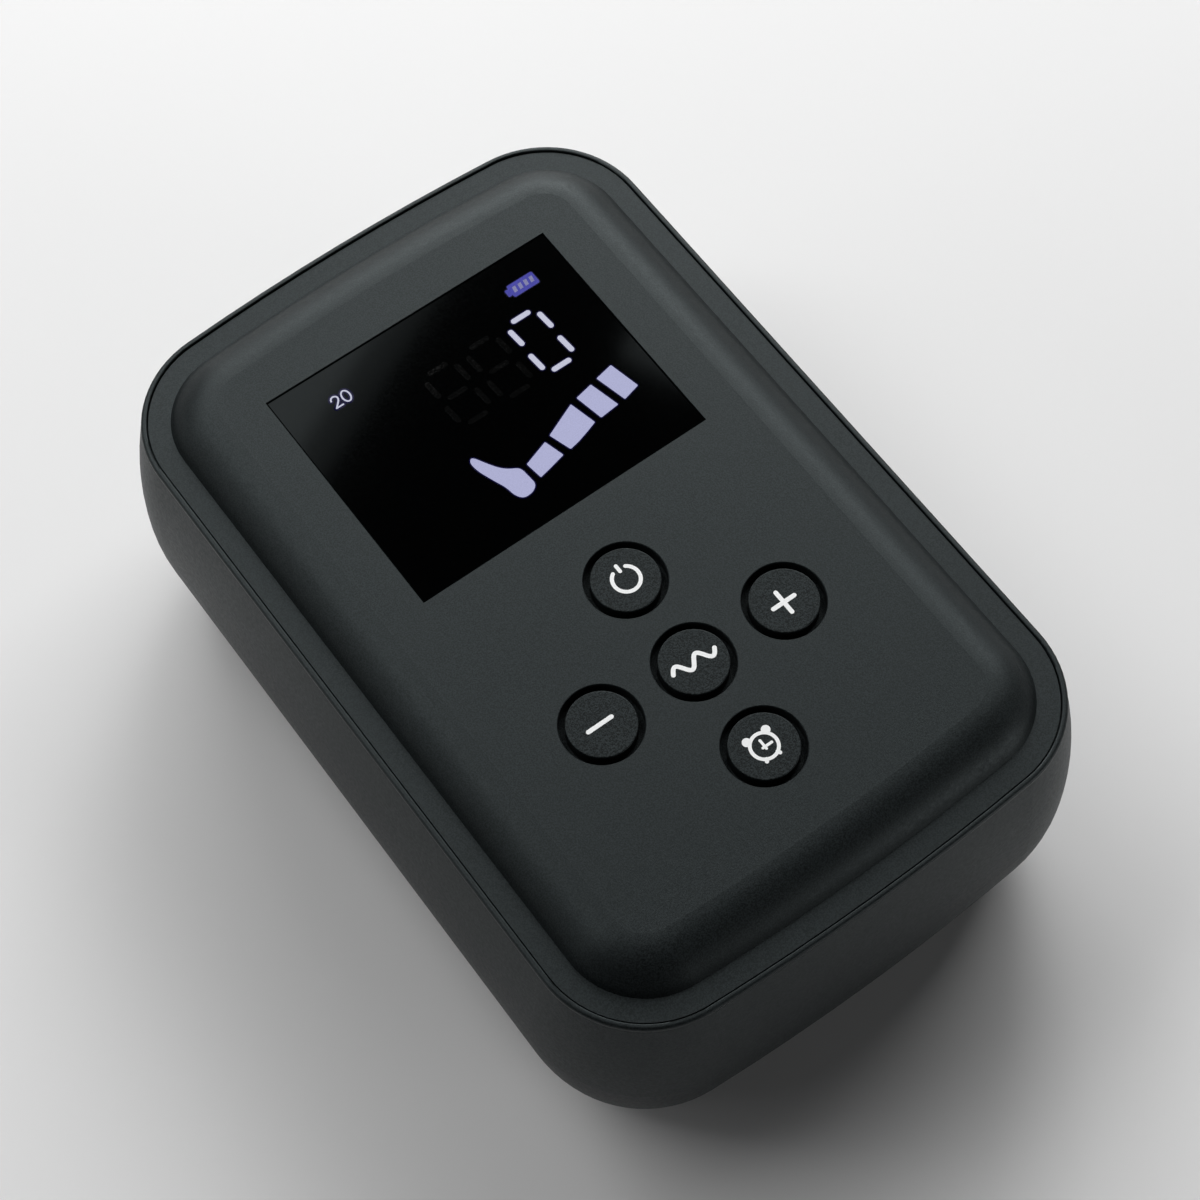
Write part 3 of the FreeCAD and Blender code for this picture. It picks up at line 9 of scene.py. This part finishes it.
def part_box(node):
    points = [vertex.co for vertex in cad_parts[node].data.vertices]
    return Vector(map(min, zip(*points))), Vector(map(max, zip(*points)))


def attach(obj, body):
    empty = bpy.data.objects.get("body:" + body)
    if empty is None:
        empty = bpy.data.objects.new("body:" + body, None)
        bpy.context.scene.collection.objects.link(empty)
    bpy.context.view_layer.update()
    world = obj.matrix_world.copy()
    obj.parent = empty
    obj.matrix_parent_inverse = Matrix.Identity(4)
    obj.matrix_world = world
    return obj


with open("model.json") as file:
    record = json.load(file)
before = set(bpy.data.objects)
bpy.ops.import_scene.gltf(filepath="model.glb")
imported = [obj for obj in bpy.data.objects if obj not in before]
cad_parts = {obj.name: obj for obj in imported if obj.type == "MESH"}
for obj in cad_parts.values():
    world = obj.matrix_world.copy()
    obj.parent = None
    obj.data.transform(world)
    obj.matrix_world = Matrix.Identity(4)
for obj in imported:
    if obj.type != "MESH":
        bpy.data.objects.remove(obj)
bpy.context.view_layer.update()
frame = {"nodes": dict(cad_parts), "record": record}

# The scene is in metres. Outlines and prints are drawn in millimetres.
MM = 0.001
MICRON = 0.001 * MM
QUARTER_TURN = math.pi / 2

# ---------------------------------------------------------------- places read from the frame


def centre(node):
    low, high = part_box(node)
    return (low + high) / 2


def top(node):
    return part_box(node)[1].z


KEY_TOP = top("power_button")
LENS_TOP = top("screen_lens")
LENS = centre("screen_lens")

# ---------------------------------------------------------------- materials

NOISE_REACH = 0.2       # nearly all of a noise lies this close to 0.5
SLATE = (0.0064, 0.008, 0.0085)
COATING_SHEEN = (0.84, 0.98, 1.0, 1.0)
WINDOW_SHEEN = (0.86, 0.98, 1.0, 1.0)


def set_inputs(node, values):
    """Set a node's inputs by their names, written with _ for a space."""
    for name, value in values.items():
        node.inputs[name.replace("_", " ")].default_value = value


class Finish:
    """A material: one Principled shader, with noise over its colour, gloss and relief."""

    def __init__(self, name, **values):
        self.material = bpy.data.materials.new(name)
        self.material.use_nodes = True
        self.tree = self.material.node_tree
        self.tree.nodes.clear()
        output = self.node("ShaderNodeOutputMaterial")
        self.principled = self.node("ShaderNodeBsdfPrincipled", **values)
        self.link(self.principled.outputs["BSDF"], output.inputs["Surface"])
        self.place = self.node("ShaderNodeTexCoord").outputs["Object"]

    def node(self, kind, **values):
        node = self.tree.nodes.new(kind)
        set_inputs(node, values)
        return node

    def set(self, **values):
        set_inputs(self.principled, values)

    def link(self, output, target):
        self.tree.links.new(output, target)

    def noise(self, scale, detail=3.0, roughness=0.55, stretch=None):
        """Noise over the object's own coordinates; the scale is in patches per metre."""
        noise = self.node("ShaderNodeTexNoise", Scale=scale, Detail=detail, Roughness=roughness)
        place = self.place
        if stretch:
            mapping = self.node("ShaderNodeMapping", Scale=stretch)
            self.link(place, mapping.inputs["Vector"])
            place = mapping.outputs["Vector"]
        self.link(place, noise.inputs["Vector"])
        return noise.outputs["Fac"]

    def ramp(self, factor, first, last, reach):
        """Colours from first to last, where the factor is within reach of 0.5."""
        ramp = self.node("ShaderNodeValToRGB")
        stops = zip(ramp.color_ramp.elements, (0.5 - reach, 0.5 + reach), (first, last))
        for element, position, colour in stops:
            element.position = position
            element.color = (*colour, 1.0)
        self.link(factor, ramp.inputs["Fac"])
        return ramp.outputs["Color"]

    def uneven(self, factor, colour, spread, reach=NOISE_REACH):
        """A colour that is darker and lighter in places, by a share of itself."""
        return self.ramp(factor, tuple(part * (1 - spread) for part in colour),
                         tuple(part * (1 + spread) for part in colour), reach)

    def vary_colour(self, factor, colour, spread, reach=NOISE_REACH):
        self.link(self.uneven(factor, colour, spread, reach),
                  self.principled.inputs["Base Color"])

    def vary_roughness(self, factor, low, high):
        spread = self.node("ShaderNodeMapRange", From_Min=0.5 - NOISE_REACH,
                           From_Max=0.5 + NOISE_REACH, To_Min=low, To_Max=high)
        self.link(factor, spread.inputs["Value"])
        self.link(spread.outputs["Result"], self.principled.inputs["Roughness"])

    def bump(self, height, microns):
        bump = self.node("ShaderNodeBump", Distance=microns * MICRON)
        self.link(height, bump.inputs["Height"])
        self.link(bump.outputs["Normal"], self.principled.inputs["Normal"])


def grained(name, roughness, grain, depth):
    """Spark-eroded plastic, with its grain in patches per metre and its depth in microns."""
    finish = Finish(name)
    finish.vary_roughness(finish.noise(grain / 2, 2.0), roughness - 0.05, roughness + 0.05)
    finish.bump(finish.noise(grain, 2.0), depth)
    return finish


def moulded(name, colour, roughness, grain=3600.0, depth=9.0):
    """Plain moulded plastic, whose tone changes slowly over the piece."""
    finish = grained(name, roughness, grain, depth)
    finish.vary_colour(finish.noise(45.0), colour, 0.02)
    return finish


def soft_touch(name, roughness, grain=3600.0, depth=9.0, gloss=0.3, speckle=0.6):
    """The matt slate coating of the case: dark, finely speckled, with a dull, cool sheen."""
    finish = grained(name, roughness, grain, depth)
    finish.vary_colour(finish.noise(4800.0, 0.0), SLATE, speckle, reach=0.1)
    finish.set(Specular_IOR_Level=gloss, Specular_Tint=COATING_SHEEN)
    return finish


def metal(name, colour, roughness):
    """Plated or brushed metal, with fine lines along one axis."""
    finish = Finish(name, Metallic=1.0)
    finish.vary_colour(finish.noise(80.0), colour, 0.06)
    lines = finish.noise(160.0, 4.0, 0.7, stretch=(1.0, 30.0, 30.0))
    finish.vary_roughness(lines, roughness - 0.08, roughness + 0.1)
    finish.bump(lines, 1.5)
    return finish


def rubber(name, colour, roughness):
    """Rubber, silicone or a wire's insulation, with a soft, uneven skin."""
    finish = Finish(name)
    finish.vary_colour(finish.noise(120.0, 4.0), colour, 0.12)
    finish.vary_roughness(finish.noise(200.0), roughness - 0.06, roughness + 0.06)
    finish.bump(finish.noise(900.0, 4.0), 60.0)
    return finish


def circuit_board(name):
    """Green solder mask with copper tracks showing through as lighter lines."""
    mask, track = (0.006, 0.06, 0.02), (0.02, 0.14, 0.05)
    finish = Finish(name, Roughness=0.35)
    tracks = finish.node("ShaderNodeTexBrick", Scale=130.0, Mortar_Size=0.03,
                         Brick_Width=0.7, Row_Height=0.2)
    finish.link(finish.place, tracks.inputs["Vector"])
    finish.link(finish.ramp(tracks.outputs["Fac"], mask, track, reach=0.5),
                finish.principled.inputs["Base Color"])
    finish.bump(tracks.outputs["Fac"], 20.0)
    return finish


def black_window(name):
    """The smooth, nearly black window over the display."""
    finish = Finish(name, IOR=1.49, Specular_Tint=WINDOW_SHEEN)
    finish.vary_colour(finish.noise(40.0), (0.0001, 0.0001, 0.00012), 0.1)
    finish.vary_roughness(finish.noise(3000.0), 0.05, 0.08)
    return finish


def dark_glass(name):
    """The glass of the display itself, under the window."""
    finish = Finish(name, Roughness=0.08)
    finish.vary_colour(finish.noise(60.0, 2.0), (0.01, 0.01, 0.014), 0.1)
    return finish


def ink(name, colour, roughness=0.45):
    """Printed graphics, with a faintly uneven tone."""
    finish = Finish(name)
    finish.vary_colour(finish.noise(2500.0), colour, 0.04)
    finish.vary_roughness(finish.noise(1800.0, 2.0), roughness - 0.04, roughness + 0.04)
    finish.bump(finish.noise(3000.0, 2.0), 10.0)
    return finish


def lit(name, colour, speckle=0.12):
    """A lit part of the display, whose glow is faintly speckled by the light guide."""
    finish = ink(name, tuple(part * 0.2 for part in colour), 0.14)
    glow = finish.uneven(finish.noise(5200.0, 3.0, 0.7), colour, speckle)
    finish.link(glow, finish.principled.inputs["Emission Color"])
    finish.set(Emission_Strength=0.85)
    return finish


MATERIALS = {
    "case_plastic": soft_touch("slate_plastic", 0.5, 3200.0, 16.0),
    "trim_plastic": soft_touch("trim_slate_plastic", 0.48),
    "key_plastic": soft_touch("key_slate_plastic", 0.52, 2400.0, 50.0, 0.2, 1.0),
    "tape_black": moulded("black_foam", (0.01, 0.01, 0.01), 0.85, 900.0, 80.0),
    "white_plastic": moulded("white_plastic", (0.72, 0.72, 0.7), 0.4),
    "chip_black": moulded("epoxy_black", (0.012, 0.012, 0.013), 0.55, 2200.0),
    "connector_cream": moulded("cream_nylon", (0.72, 0.66, 0.5), 0.4),
    "switch_plastic": moulded("switch_black", (0.015, 0.015, 0.016), 0.4),
    "inner_plastic": moulded("inner_black", (0.02, 0.02, 0.021), 0.5),
    "wrap_blue": moulded("shrink_film_blue", (0.012, 0.05, 0.22), 0.25, 400.0, 60.0),
    "board_green": circuit_board("solder_mask"),
    "wire_red": rubber("wire_insulation", (0.35, 0.01, 0.008), 0.45),
    "dark_rubber": rubber("dark_rubber", (0.02, 0.02, 0.02), 0.75),
    "silicone": rubber("silicone_tube", (0.62, 0.62, 0.6), 0.4),
    "cell_steel": metal("cell_steel", (0.55, 0.56, 0.57), 0.35),
    "motor_steel": metal("motor_steel", (0.58, 0.58, 0.6), 0.3),
    "shaft_steel": metal("shaft_steel", (0.62, 0.62, 0.63), 0.2),
    "valve_steel": metal("valve_steel", (0.5, 0.52, 0.53), 0.35),
    "inlet_steel": metal("inlet_nickel", (0.6, 0.6, 0.6), 0.28),
    "screw_steel": metal("screw_steel", (0.45, 0.45, 0.46), 0.3),
    "lens_black": black_window("black_lens"),
    "display_glass": dark_glass("display_glass"),
}
WHITE_INK = ink("white_ink", (0.86, 0.87, 0.87))
SEGMENT = lit("lit_segment", (0.4, 0.41, 0.61))
SEGMENT_PALE = lit("lit_numeral", (0.52, 0.53, 0.65))
SEGMENT_BLUE = lit("lit_battery", (0.058, 0.058, 0.33), 0.25)
SEGMENT_DIM = lit("lit_battery_bar", (0.2, 0.2, 0.36), 0.25)
BLEED = lit("backlight_bleed", (0.004, 0.0035, 0.032), 0.3)
SEGMENT_OFF = ink("unlit_segment", (0.0017, 0.0018, 0.0018), 0.07)


def dress_solids():
    """Give every solid of the CAD model the material of its slot."""
    for entry in frame["record"]["subparts"]:
        solid = frame["nodes"][entry["node"]]
        solid.data.materials.clear()
        solid.data.materials.append(MATERIALS[entry["material_slot"]].material)


# ---------------------------------------------------------------- outlines in millimetres

CAP_POINTS = 9


def counter_clockwise(outline):
    area = sum(a[0] * b[1] - b[0] * a[1] for a, b in zip(outline, outline[1:] + outline[:1]))
    return outline if area > 0 else outline[::-1]


def bearing(start, end):
    return math.atan2(end[1] - start[1], end[0] - start[0])


def polar(radius, angle, middle=(0.0, 0.0)):
    return (middle[0] + radius * math.cos(angle), middle[1] + radius * math.sin(angle))


def arc(middle, radius, start, end, count):
    """Evenly spaced points along an arc, from one end to the other."""
    return [polar(radius, start + (end - start) * index / (count - 1), middle)
            for index in range(count)]


def ring(middle, radius, count=48):
    """A full circle; the arc's last point, which repeats the first, is left off."""
    return arc(middle, radius, 0.0, 2 * math.pi, count + 1)[:-1]


def stroke(points, width):
    """A stroke of even width along a straight or bent line, with round ends."""
    half = width / 2

    def cap(end, way):
        return arc(end, half, way - QUARTER_TURN, way + QUARTER_TURN, CAP_POINTS)[1:-1]

    left, right = [], []
    for index, spot in enumerate(points):
        way = bearing(points[max(index - 1, 0)], points[min(index + 1, len(points) - 1)])
        left.append(polar(half, way + QUARTER_TURN, spot))
        right.append(polar(half, way - QUARTER_TURN, spot))
    return (right + cap(points[-1], bearing(points[-2], points[-1]))
            + left[::-1] + cap(points[0], bearing(points[1], points[0])))


def bar(middle, half_length, width, angle=0.0):
    """A straight stroke through its own middle."""
    return stroke([polar(-half_length, angle, middle), polar(half_length, angle, middle)], width)


def rectangle(left, low, right, high):
    return [(left, low), (right, low), (right, high), (left, high)]


def rounded(corners, radius, steps=4):
    """A polygon with rounded corners, which leave part of a short side straight."""
    side_to_reach = 2.2
    outline = []
    for index, corner in enumerate(corners):
        corner = Vector(corner)
        ends = []
        for neighbour in (corners[index - 1], corners[(index + 1) % len(corners)]):
            side = Vector(neighbour) - corner
            ends.append(corner + side.normalized() * min(radius, side.length / side_to_reach))
        for step in range(steps + 1):
            t = step / steps
            spot = ends[0] * (1 - t) ** 2 + corner * (2 * t * (1 - t)) + ends[1] * t ** 2
            outline.append((spot.x, spot.y))
    return outline


def grown(outline, distance):
    """The outline moved outwards, for the glow that leaks round a lit shape."""
    outline = counter_clockwise(outline)
    moved = []
    for index, spot in enumerate(outline):
        way = bearing(outline[index - 1], outline[(index + 1) % len(outline)])
        moved.append(polar(distance, way - QUARTER_TURN, spot))
    return moved


# ---------------------------------------------------------------- flat printed shapes

# Thicknesses in millimetres. Where one shape lies over another, its top is a little higher.
INK_LAYER = 0.02
GLOW_LAYER = 0.008
GHOST_LAYER = 0.01
BAR_LAYER = 0.026
LIFT = 0.002


def new_piece(name, mesh, finish, body):
    mesh.name = name
    mesh.materials.append(finish.material)
    piece = bpy.data.objects.new(name, mesh)
    bpy.context.scene.collection.objects.link(piece)
    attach(piece, body)


class Print:
    """Flat shapes in millimetres round an origin, which stand on a level in metres."""

    def __init__(self, origin, level, thickness=INK_LAYER):
        self.mesh = bmesh.new()
        self.origin = origin
        self.low = level
        self.high = level + thickness * MM

    def loop(self, outline, level):
        return [self.mesh.verts.new(((self.origin[0] + x) * MM, (self.origin[1] + y) * MM, level))
                for x, y in outline]

    def join(self, first, second):
        """Faces between two loops that have the same number of points."""
        for index in range(len(first)):
            following = (index + 1) % len(first)
            self.mesh.faces.new((first[index], first[following],
                                 second[following], second[index]))

    def fill(self, outline, lift=0.0):
        """A filled outline with short upright sides."""
        outline = counter_clockwise(outline)
        lower = self.loop(outline, self.low)
        upper = self.loop(outline, self.high + lift * MM)
        self.mesh.faces.new(upper)
        self.join(lower, upper)

    def band(self, outer, inner):
        """The strip between two outlines that have the same number of points."""
        loops = [self.loop(outer, self.low), self.loop(outer, self.high),
                 self.loop(inner, self.high), self.loop(inner, self.low)]
        for first, second in zip(loops, loops[1:]):
            self.join(first, second)

    def done(self, name, finish, body, slot):
        mesh = bpy.data.meshes.new(name)
        bmesh.ops.recalc_face_normals(self.mesh, faces=self.mesh.faces)
        bmesh.ops.triangulate(self.mesh, faces=[f for f in self.mesh.faces if len(f.verts) > 4])
        self.mesh.to_mesh(mesh)
        self.mesh.free()
        new_piece(name, mesh, finish, body)


# ---------------------------------------------------------------- legends on the keys


def draw_power(drawing):
    """A broken ring with a stroke in its gap."""
    gap = math.radians(32)
    circle = arc((0.0, 0.0), 2.17, QUARTER_TURN + gap, 5 * QUARTER_TURN - gap, 44)
    drawing.fill(stroke(circle, 0.62))
    drawing.fill(stroke([(0.0, 1.57), (0.0, 2.67)], 0.6))


def draw_plus(drawing):
    """Four arms with round ends, as one outline."""
    half, reach = 0.36, 2.32
    arm = [(half, -half)]
    arm += arc((reach - half, 0.0), half, -QUARTER_TURN, QUARTER_TURN, CAP_POINTS)
    cross = []
    for quarter in range(4):
        turn = Matrix.Rotation(quarter * QUARTER_TURN, 2)
        cross += [tuple(turn @ Vector(spot)) for spot in arm]
    drawing.fill(cross)


def draw_minus(drawing):
    drawing.fill(bar((0.0, 0.0), 2.1, 0.7))


def draw_wave(drawing):
    """Two full waves, for the key that steps through the massage programs."""
    half_length, height, waves, steps = 3.8, 0.95, 2, 60
    line = [(half_length * (2 * step / steps - 1),
             height * math.sin(2 * math.pi * waves * step / steps)) for step in range(steps + 1)]
    drawing.fill(stroke(line, 0.7))


def draw_clock(drawing):
    """A clock with two bells, two feet and two hands."""
    outer, inner, bell_radius, foot_width, hand_width = 2.4, 1.84, 0.72, 0.62, 0.44
    drawing.band(ring((0.0, 0.0), outer), ring((0.0, 0.0), inner))
    for side in (-1, 1):
        bell = math.radians(90 + side * 42)
        foot = math.radians(-90 + side * 29)
        drawing.fill(ring(polar(2.62, bell), bell_radius, 24), LIFT)
        drawing.fill(stroke([polar(2.1, foot), polar(2.5, foot)], foot_width), LIFT)
    drawing.fill(stroke([(0.0, -0.5), (0.0, 1.05)], hand_width), LIFT)
    drawing.fill(stroke([(-0.38, -0.15), (1.25, -0.15)], hand_width), 2 * LIFT)


def print_legends():
    """Each legend sits as far off its key's middle as it does in the photo."""
    for key, draw, shift in (("power", draw_power, (0.15, 0.05)),
                             ("plus", draw_plus, (-0.25, -0.2)),
                             ("minus", draw_minus, (-0.25, 0.1)),
                             ("mode", draw_wave, (0.0, 0.0)),
                             ("timer", draw_clock, (0.0, 0.0))):
        place = centre(f"{key}_button")
        drawing = Print((place.x / MM + shift[0], place.y / MM + shift[1]), KEY_TOP)
        draw(drawing)
        drawing.done(f"{key}_legend", WHITE_INK, f"{key}_key", "key_plastic")


# ---------------------------------------------------------------- graphics on the screen

DIGIT_HALF_WIDTH = 2.82
DIGIT_HALF_HEIGHT = 5.48
SEGMENT_WIDTH = 0.9
SEGMENT_HALF_LENGTH = 1.36
SEGMENT_LEAN = math.radians(94)
NUMERAL_WIDTH = 0.27


def screen_print(thickness=INK_LAYER):
    """A drawing whose places are measured from the middle of the window."""
    return Print((LENS.x / MM, LENS.y / MM), LENS_TOP, thickness)


def digit(x, y, left_out=""):
    """The outlines of a seven-segment digit made of separate round-ended bars."""
    across, up, lean = DIGIT_HALF_WIDTH, DIGIT_HALF_HEIGHT, SEGMENT_LEAN
    segments = {
        "top": (0, up, 0.0), "middle": (0, 0, 0.0), "bottom": (0, -up, 0.0),
        "upper_left": (-across, up / 2, lean), "upper_right": (across, up / 2, lean),
        "lower_left": (-across, -up / 2, lean), "lower_right": (across, -up / 2, lean),
    }
    return [bar((x + dx, y + dy), SEGMENT_HALF_LENGTH, SEGMENT_WIDTH, angle)
            for name, (dx, dy, angle) in segments.items() if name != left_out]


def light_up(name, outlines, finish, spill=0.2):
    """Draw lit outlines on the screen, over the blue glow that leaks round them."""
    drawing = screen_print()
    glow = screen_print(GLOW_LAYER)
    for outline in outlines:
        drawing.fill(outline)
        glow.fill(grown(outline, spill))
    drawing.done(name, finish, "case", "lens_black")
    glow.done(f"{name}_glow", BLEED, "case", "lens_black")


def light_digits():
    """The pressure, a single nought, with two unlit digits before it."""
    light_up("pressure_digit", digit(14.5, 5.38, left_out="middle"), SEGMENT_PALE)
    ghosts = screen_print(GHOST_LAYER)
    for x in (-1.45, 6.5):
        for outline in digit(x, 5.4):
            ghosts.fill(outline)
    ghosts.done("unlit_digits", SEGMENT_OFF, "case", "lens_black")


def light_leg():
    """A leg in five chambers, from thigh to foot."""
    chambers = [
        [(17.38, -5.4), (20.62, -4.75), (21.83, -10.25), (18.73, -11.04)],
        [(12.81, -6.39), (16.02, -5.75), (17.33, -11.17), (13.81, -11.51)],
        [(5.52, -9.32), (11.43, -6.77), (12.56, -11.58), (10.6, -12.25), (8.6, -12.85),
         (6.74, -13.22)],
        [(-0.25, -11.36), (4.29, -9.84), (5.25, -13.37), (2.4, -14.04), (0.17, -14.51)],
    ]
    foot = [(-1.37, -11.28), (-1.07, -15.0), (-2.3, -15.9), (-4.0, -15.95), (-4.86, -14.73),
            (-5.13, -12.79), (-6.05, -10.47), (-6.95, -7.92), (-7.15, -6.1), (-6.6, -5.35),
            (-6.05, -5.75), (-5.36, -7.1), (-4.17, -9.14), (-3.07, -10.3)]
    light_up("leg_pictogram", [rounded(corners, 0.2) for corners in chambers]
             + [rounded(foot, 0.85)], SEGMENT)


def light_battery():
    """A battery with four slanting charge bars, its terminal to the left."""
    body = rounded(rectangle(15.9, 14.4, 20.8, 16.85), 0.35)
    terminal = rounded(rectangle(15.2, 14.95, 15.95, 16.3), 0.2)
    light_up("battery_symbol", [body, terminal], SEGMENT_BLUE, 0.15)
    first, pitch, width, slant, low, high = 16.4, 1.07, 0.62, 0.18, 15.1, 16.2
    bars = screen_print(BAR_LAYER)
    for number in range(4):
        left = first + number * pitch
        bars.fill([(left, low), (left + width, low),
                   (left + width + slant, high), (left + slant, high)])
    bars.done("battery_bars", SEGMENT_DIM, "case", "lens_black")


def light_minutes():
    """The number of minutes left, in thin numerals."""
    two = [(-18.12, 15.86), (-18.02, 16.14), (-17.8, 16.35), (-17.52, 16.42), (-17.24, 16.36),
           (-17.0, 16.18), (-16.9, 15.93), (-16.94, 15.65), (-17.1, 15.36), (-17.42, 15.0),
           (-18.08, 14.36)]
    foot_of_two = [two[-1], (-16.84, 14.36)]
    x, y, across, up = -15.66, 15.36, 0.66, 1.06
    nought = [(x + across * math.cos(turn), y + up * math.sin(turn))
              for turn in (math.radians(degrees) for degrees in range(-88, 269, 12))]
    light_up("minutes_numerals",
             [stroke(line, NUMERAL_WIDTH) for line in (two, foot_of_two, nought)],
             SEGMENT_PALE, 0.3)


# ---------------------------------------------------------------- numerals on the underside


def mould_numerals():
    """Raised numerals 1 to 5 beside the air outlets, read with the pump turned over."""
    plastic = soft_touch("numeral_plastic", 0.4)
    height, proud = 3.4 * MM, 0.15 * MM
    size_per_height = 1.4
    foot_line = centre("air_manifold").y - 5.6 * MM
    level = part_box("rear_housing")[0].z
    for number in range(1, 6):
        curve = bpy.data.curves.new("numeral_shape", "FONT")
        curve.body = str(number)
        curve.size = height * size_per_height
        curve.extrude = proud / 2
        curve.align_x = "CENTER"
        text = bpy.data.objects.new("numeral_text", curve)
        bpy.context.scene.collection.objects.link(text)
        bpy.context.view_layer.update()
        mesh = bpy.data.meshes.new_from_object(text)
        bpy.data.objects.remove(text)
        mesh.transform(Matrix.Rotation(math.pi, 4, "X"))
        outlet = centre(f"valve_{number}").x
        mesh.transform(Matrix.Translation((outlet, foot_line, level - proud / 2)))
        new_piece(f"outlet_numeral_{number}", mesh, plastic, "case")


# ---------------------------------------------------------------- studio

FLOOR_RADIUS = 0.9
FLOOR_DROP = 0.2 * MM
LIGHT_DISTANCE = 1.2
LIGHTS_AROUND = Vector((0.0, 0.0, 0.02))
LIGHTS_AIM = Vector((0.0, 0.0, 0.03))
CARD_TURN = math.radians(26.6)

FOCAL_LENGTH = 81.89
SENSOR_WIDTH = 36.0
NEAREST_SEEN = 0.01
CAMERA_PLACE = (-0.1093, -0.159, 0.4171)
CAMERA_RIGHT = Vector((0.8058, -0.592, -0.0129))
CAMERA_UP = Vector((0.534, 0.7172, 0.4476))


def make_floor():
    mesh = bpy.data.meshes.new("floor")
    drawing = bmesh.new()
    bmesh.ops.create_circle(drawing, cap_ends=True, segments=128, radius=FLOOR_RADIUS)
    drawing.to_mesh(mesh)
    drawing.free()
    floor = bpy.data.objects.new("floor", mesh)
    floor.location.z = -FLOOR_DROP
    bpy.context.scene.collection.objects.link(floor)
    finish = Finish("pale_floor", Roughness=0.8)
    finish.vary_colour(finish.noise(4.0, 2.0), (0.78, 0.78, 0.78), 0.01)
    mesh.materials.append(finish.material)


def area_light(name, place, size, power):
    """A rectangular light that faces straight down."""
    light = bpy.data.lights.new(name, "AREA")
    light.shape = "RECTANGLE"
    light.size, light.size_y = size
    light.energy = power
    lamp = bpy.data.objects.new(name, light)
    lamp.location = place
    bpy.context.scene.collection.objects.link(lamp)
    return lamp


def make_soft_boxes():
    """Lights that face the pump, placed by their bearings and heights in degrees."""
    large, small, low = (0.9, 0.5), (0.6, 0.4), (0.6, 0.25)
    for name, azimuth, elevation, size, power in (("back", 60, 25, large, 8.4),
                                                  ("high_back", 60, 40, large, 1.6),
                                                  ("right", 30, 40, large, 7.0),
                                                  ("left", 120, 53, large, 6.0),
                                                  ("low_left", 150, 24, small, 1.1),
                                                  ("front", 300, 8, low, 2.8)):
        turn, rise = math.radians(azimuth), math.radians(elevation)
        way = Vector((math.cos(rise) * math.cos(turn), math.cos(rise) * math.sin(turn),
                      math.sin(rise)))
        lamp = area_light(name, LIGHTS_AROUND + way * LIGHT_DISTANCE, size, power)
        lamp.rotation_euler = (LIGHTS_AIM - lamp.location).to_track_quat("-Z", "Y").to_euler()


def make_overhead_cards():
    """Level cards high over the floor, which the black window reflects as two pale patches."""
    for name, place, size, power in (
            ("overhead", (0.349, 0.81, 0.8), (1.4, 0.5), 0.46),
            ("overhead_left", (0.09, 0.584, 0.79), (0.3, 0.3), 0.14),
            ("overhead_right", (0.315, 0.389, 0.8), (0.03, 0.036), 0.0016)):
        area_light(name, place, size, power).rotation_euler.z = CARD_TURN


def make_backdrop():
    """A dim room round the object, seen by the camera as a plain pale backdrop."""
    world = bpy.data.worlds.new("studio")
    world.use_nodes = True
    tree = world.node_tree
    room = tree.nodes["Background"]
    set_inputs(room, {"Color": (0.95, 0.97, 1.0, 1.0), "Strength": 0.01})
    backdrop = tree.nodes.new("ShaderNodeBackground")
    set_inputs(backdrop, {"Color": (0.72, 0.72, 0.72, 1.0)})
    path = tree.nodes.new("ShaderNodeLightPath")
    choice = tree.nodes.new("ShaderNodeMixShader")
    tree.links.new(path.outputs["Is Camera Ray"], choice.inputs[0])
    tree.links.new(room.outputs[0], choice.inputs[1])
    tree.links.new(backdrop.outputs[0], choice.inputs[2])
    tree.links.new(choice.outputs[0], tree.nodes["World Output"].inputs["Surface"])
    bpy.context.scene.world = world


def make_camera():
    """The photo's camera, held by its place and by what is right and up in the picture."""
    camera = bpy.data.cameras.new("camera")
    camera.sensor_width = SENSOR_WIDTH
    camera.lens = FOCAL_LENGTH
    camera.clip_start = NEAREST_SEEN
    back = CAMERA_RIGHT.cross(CAMERA_UP).normalized()
    up = back.cross(CAMERA_RIGHT).normalized()
    turn = Matrix((CAMERA_RIGHT.normalized(), up, back)).transposed()
    view = bpy.data.objects.new("camera", camera)
    view.matrix_world = Matrix.Translation(CAMERA_PLACE) @ turn.to_4x4()
    bpy.context.scene.collection.objects.link(view)
    bpy.context.scene.camera = view
    bpy.context.scene.view_settings.view_transform = "Standard"


# ---------------------------------------------------------------- the scene

dress_solids()
print_legends()
light_digits()
light_leg()
light_battery()
light_minutes()
mould_numerals()
make_floor()
make_soft_boxes()
make_overhead_cards()
make_backdrop()
make_camera()
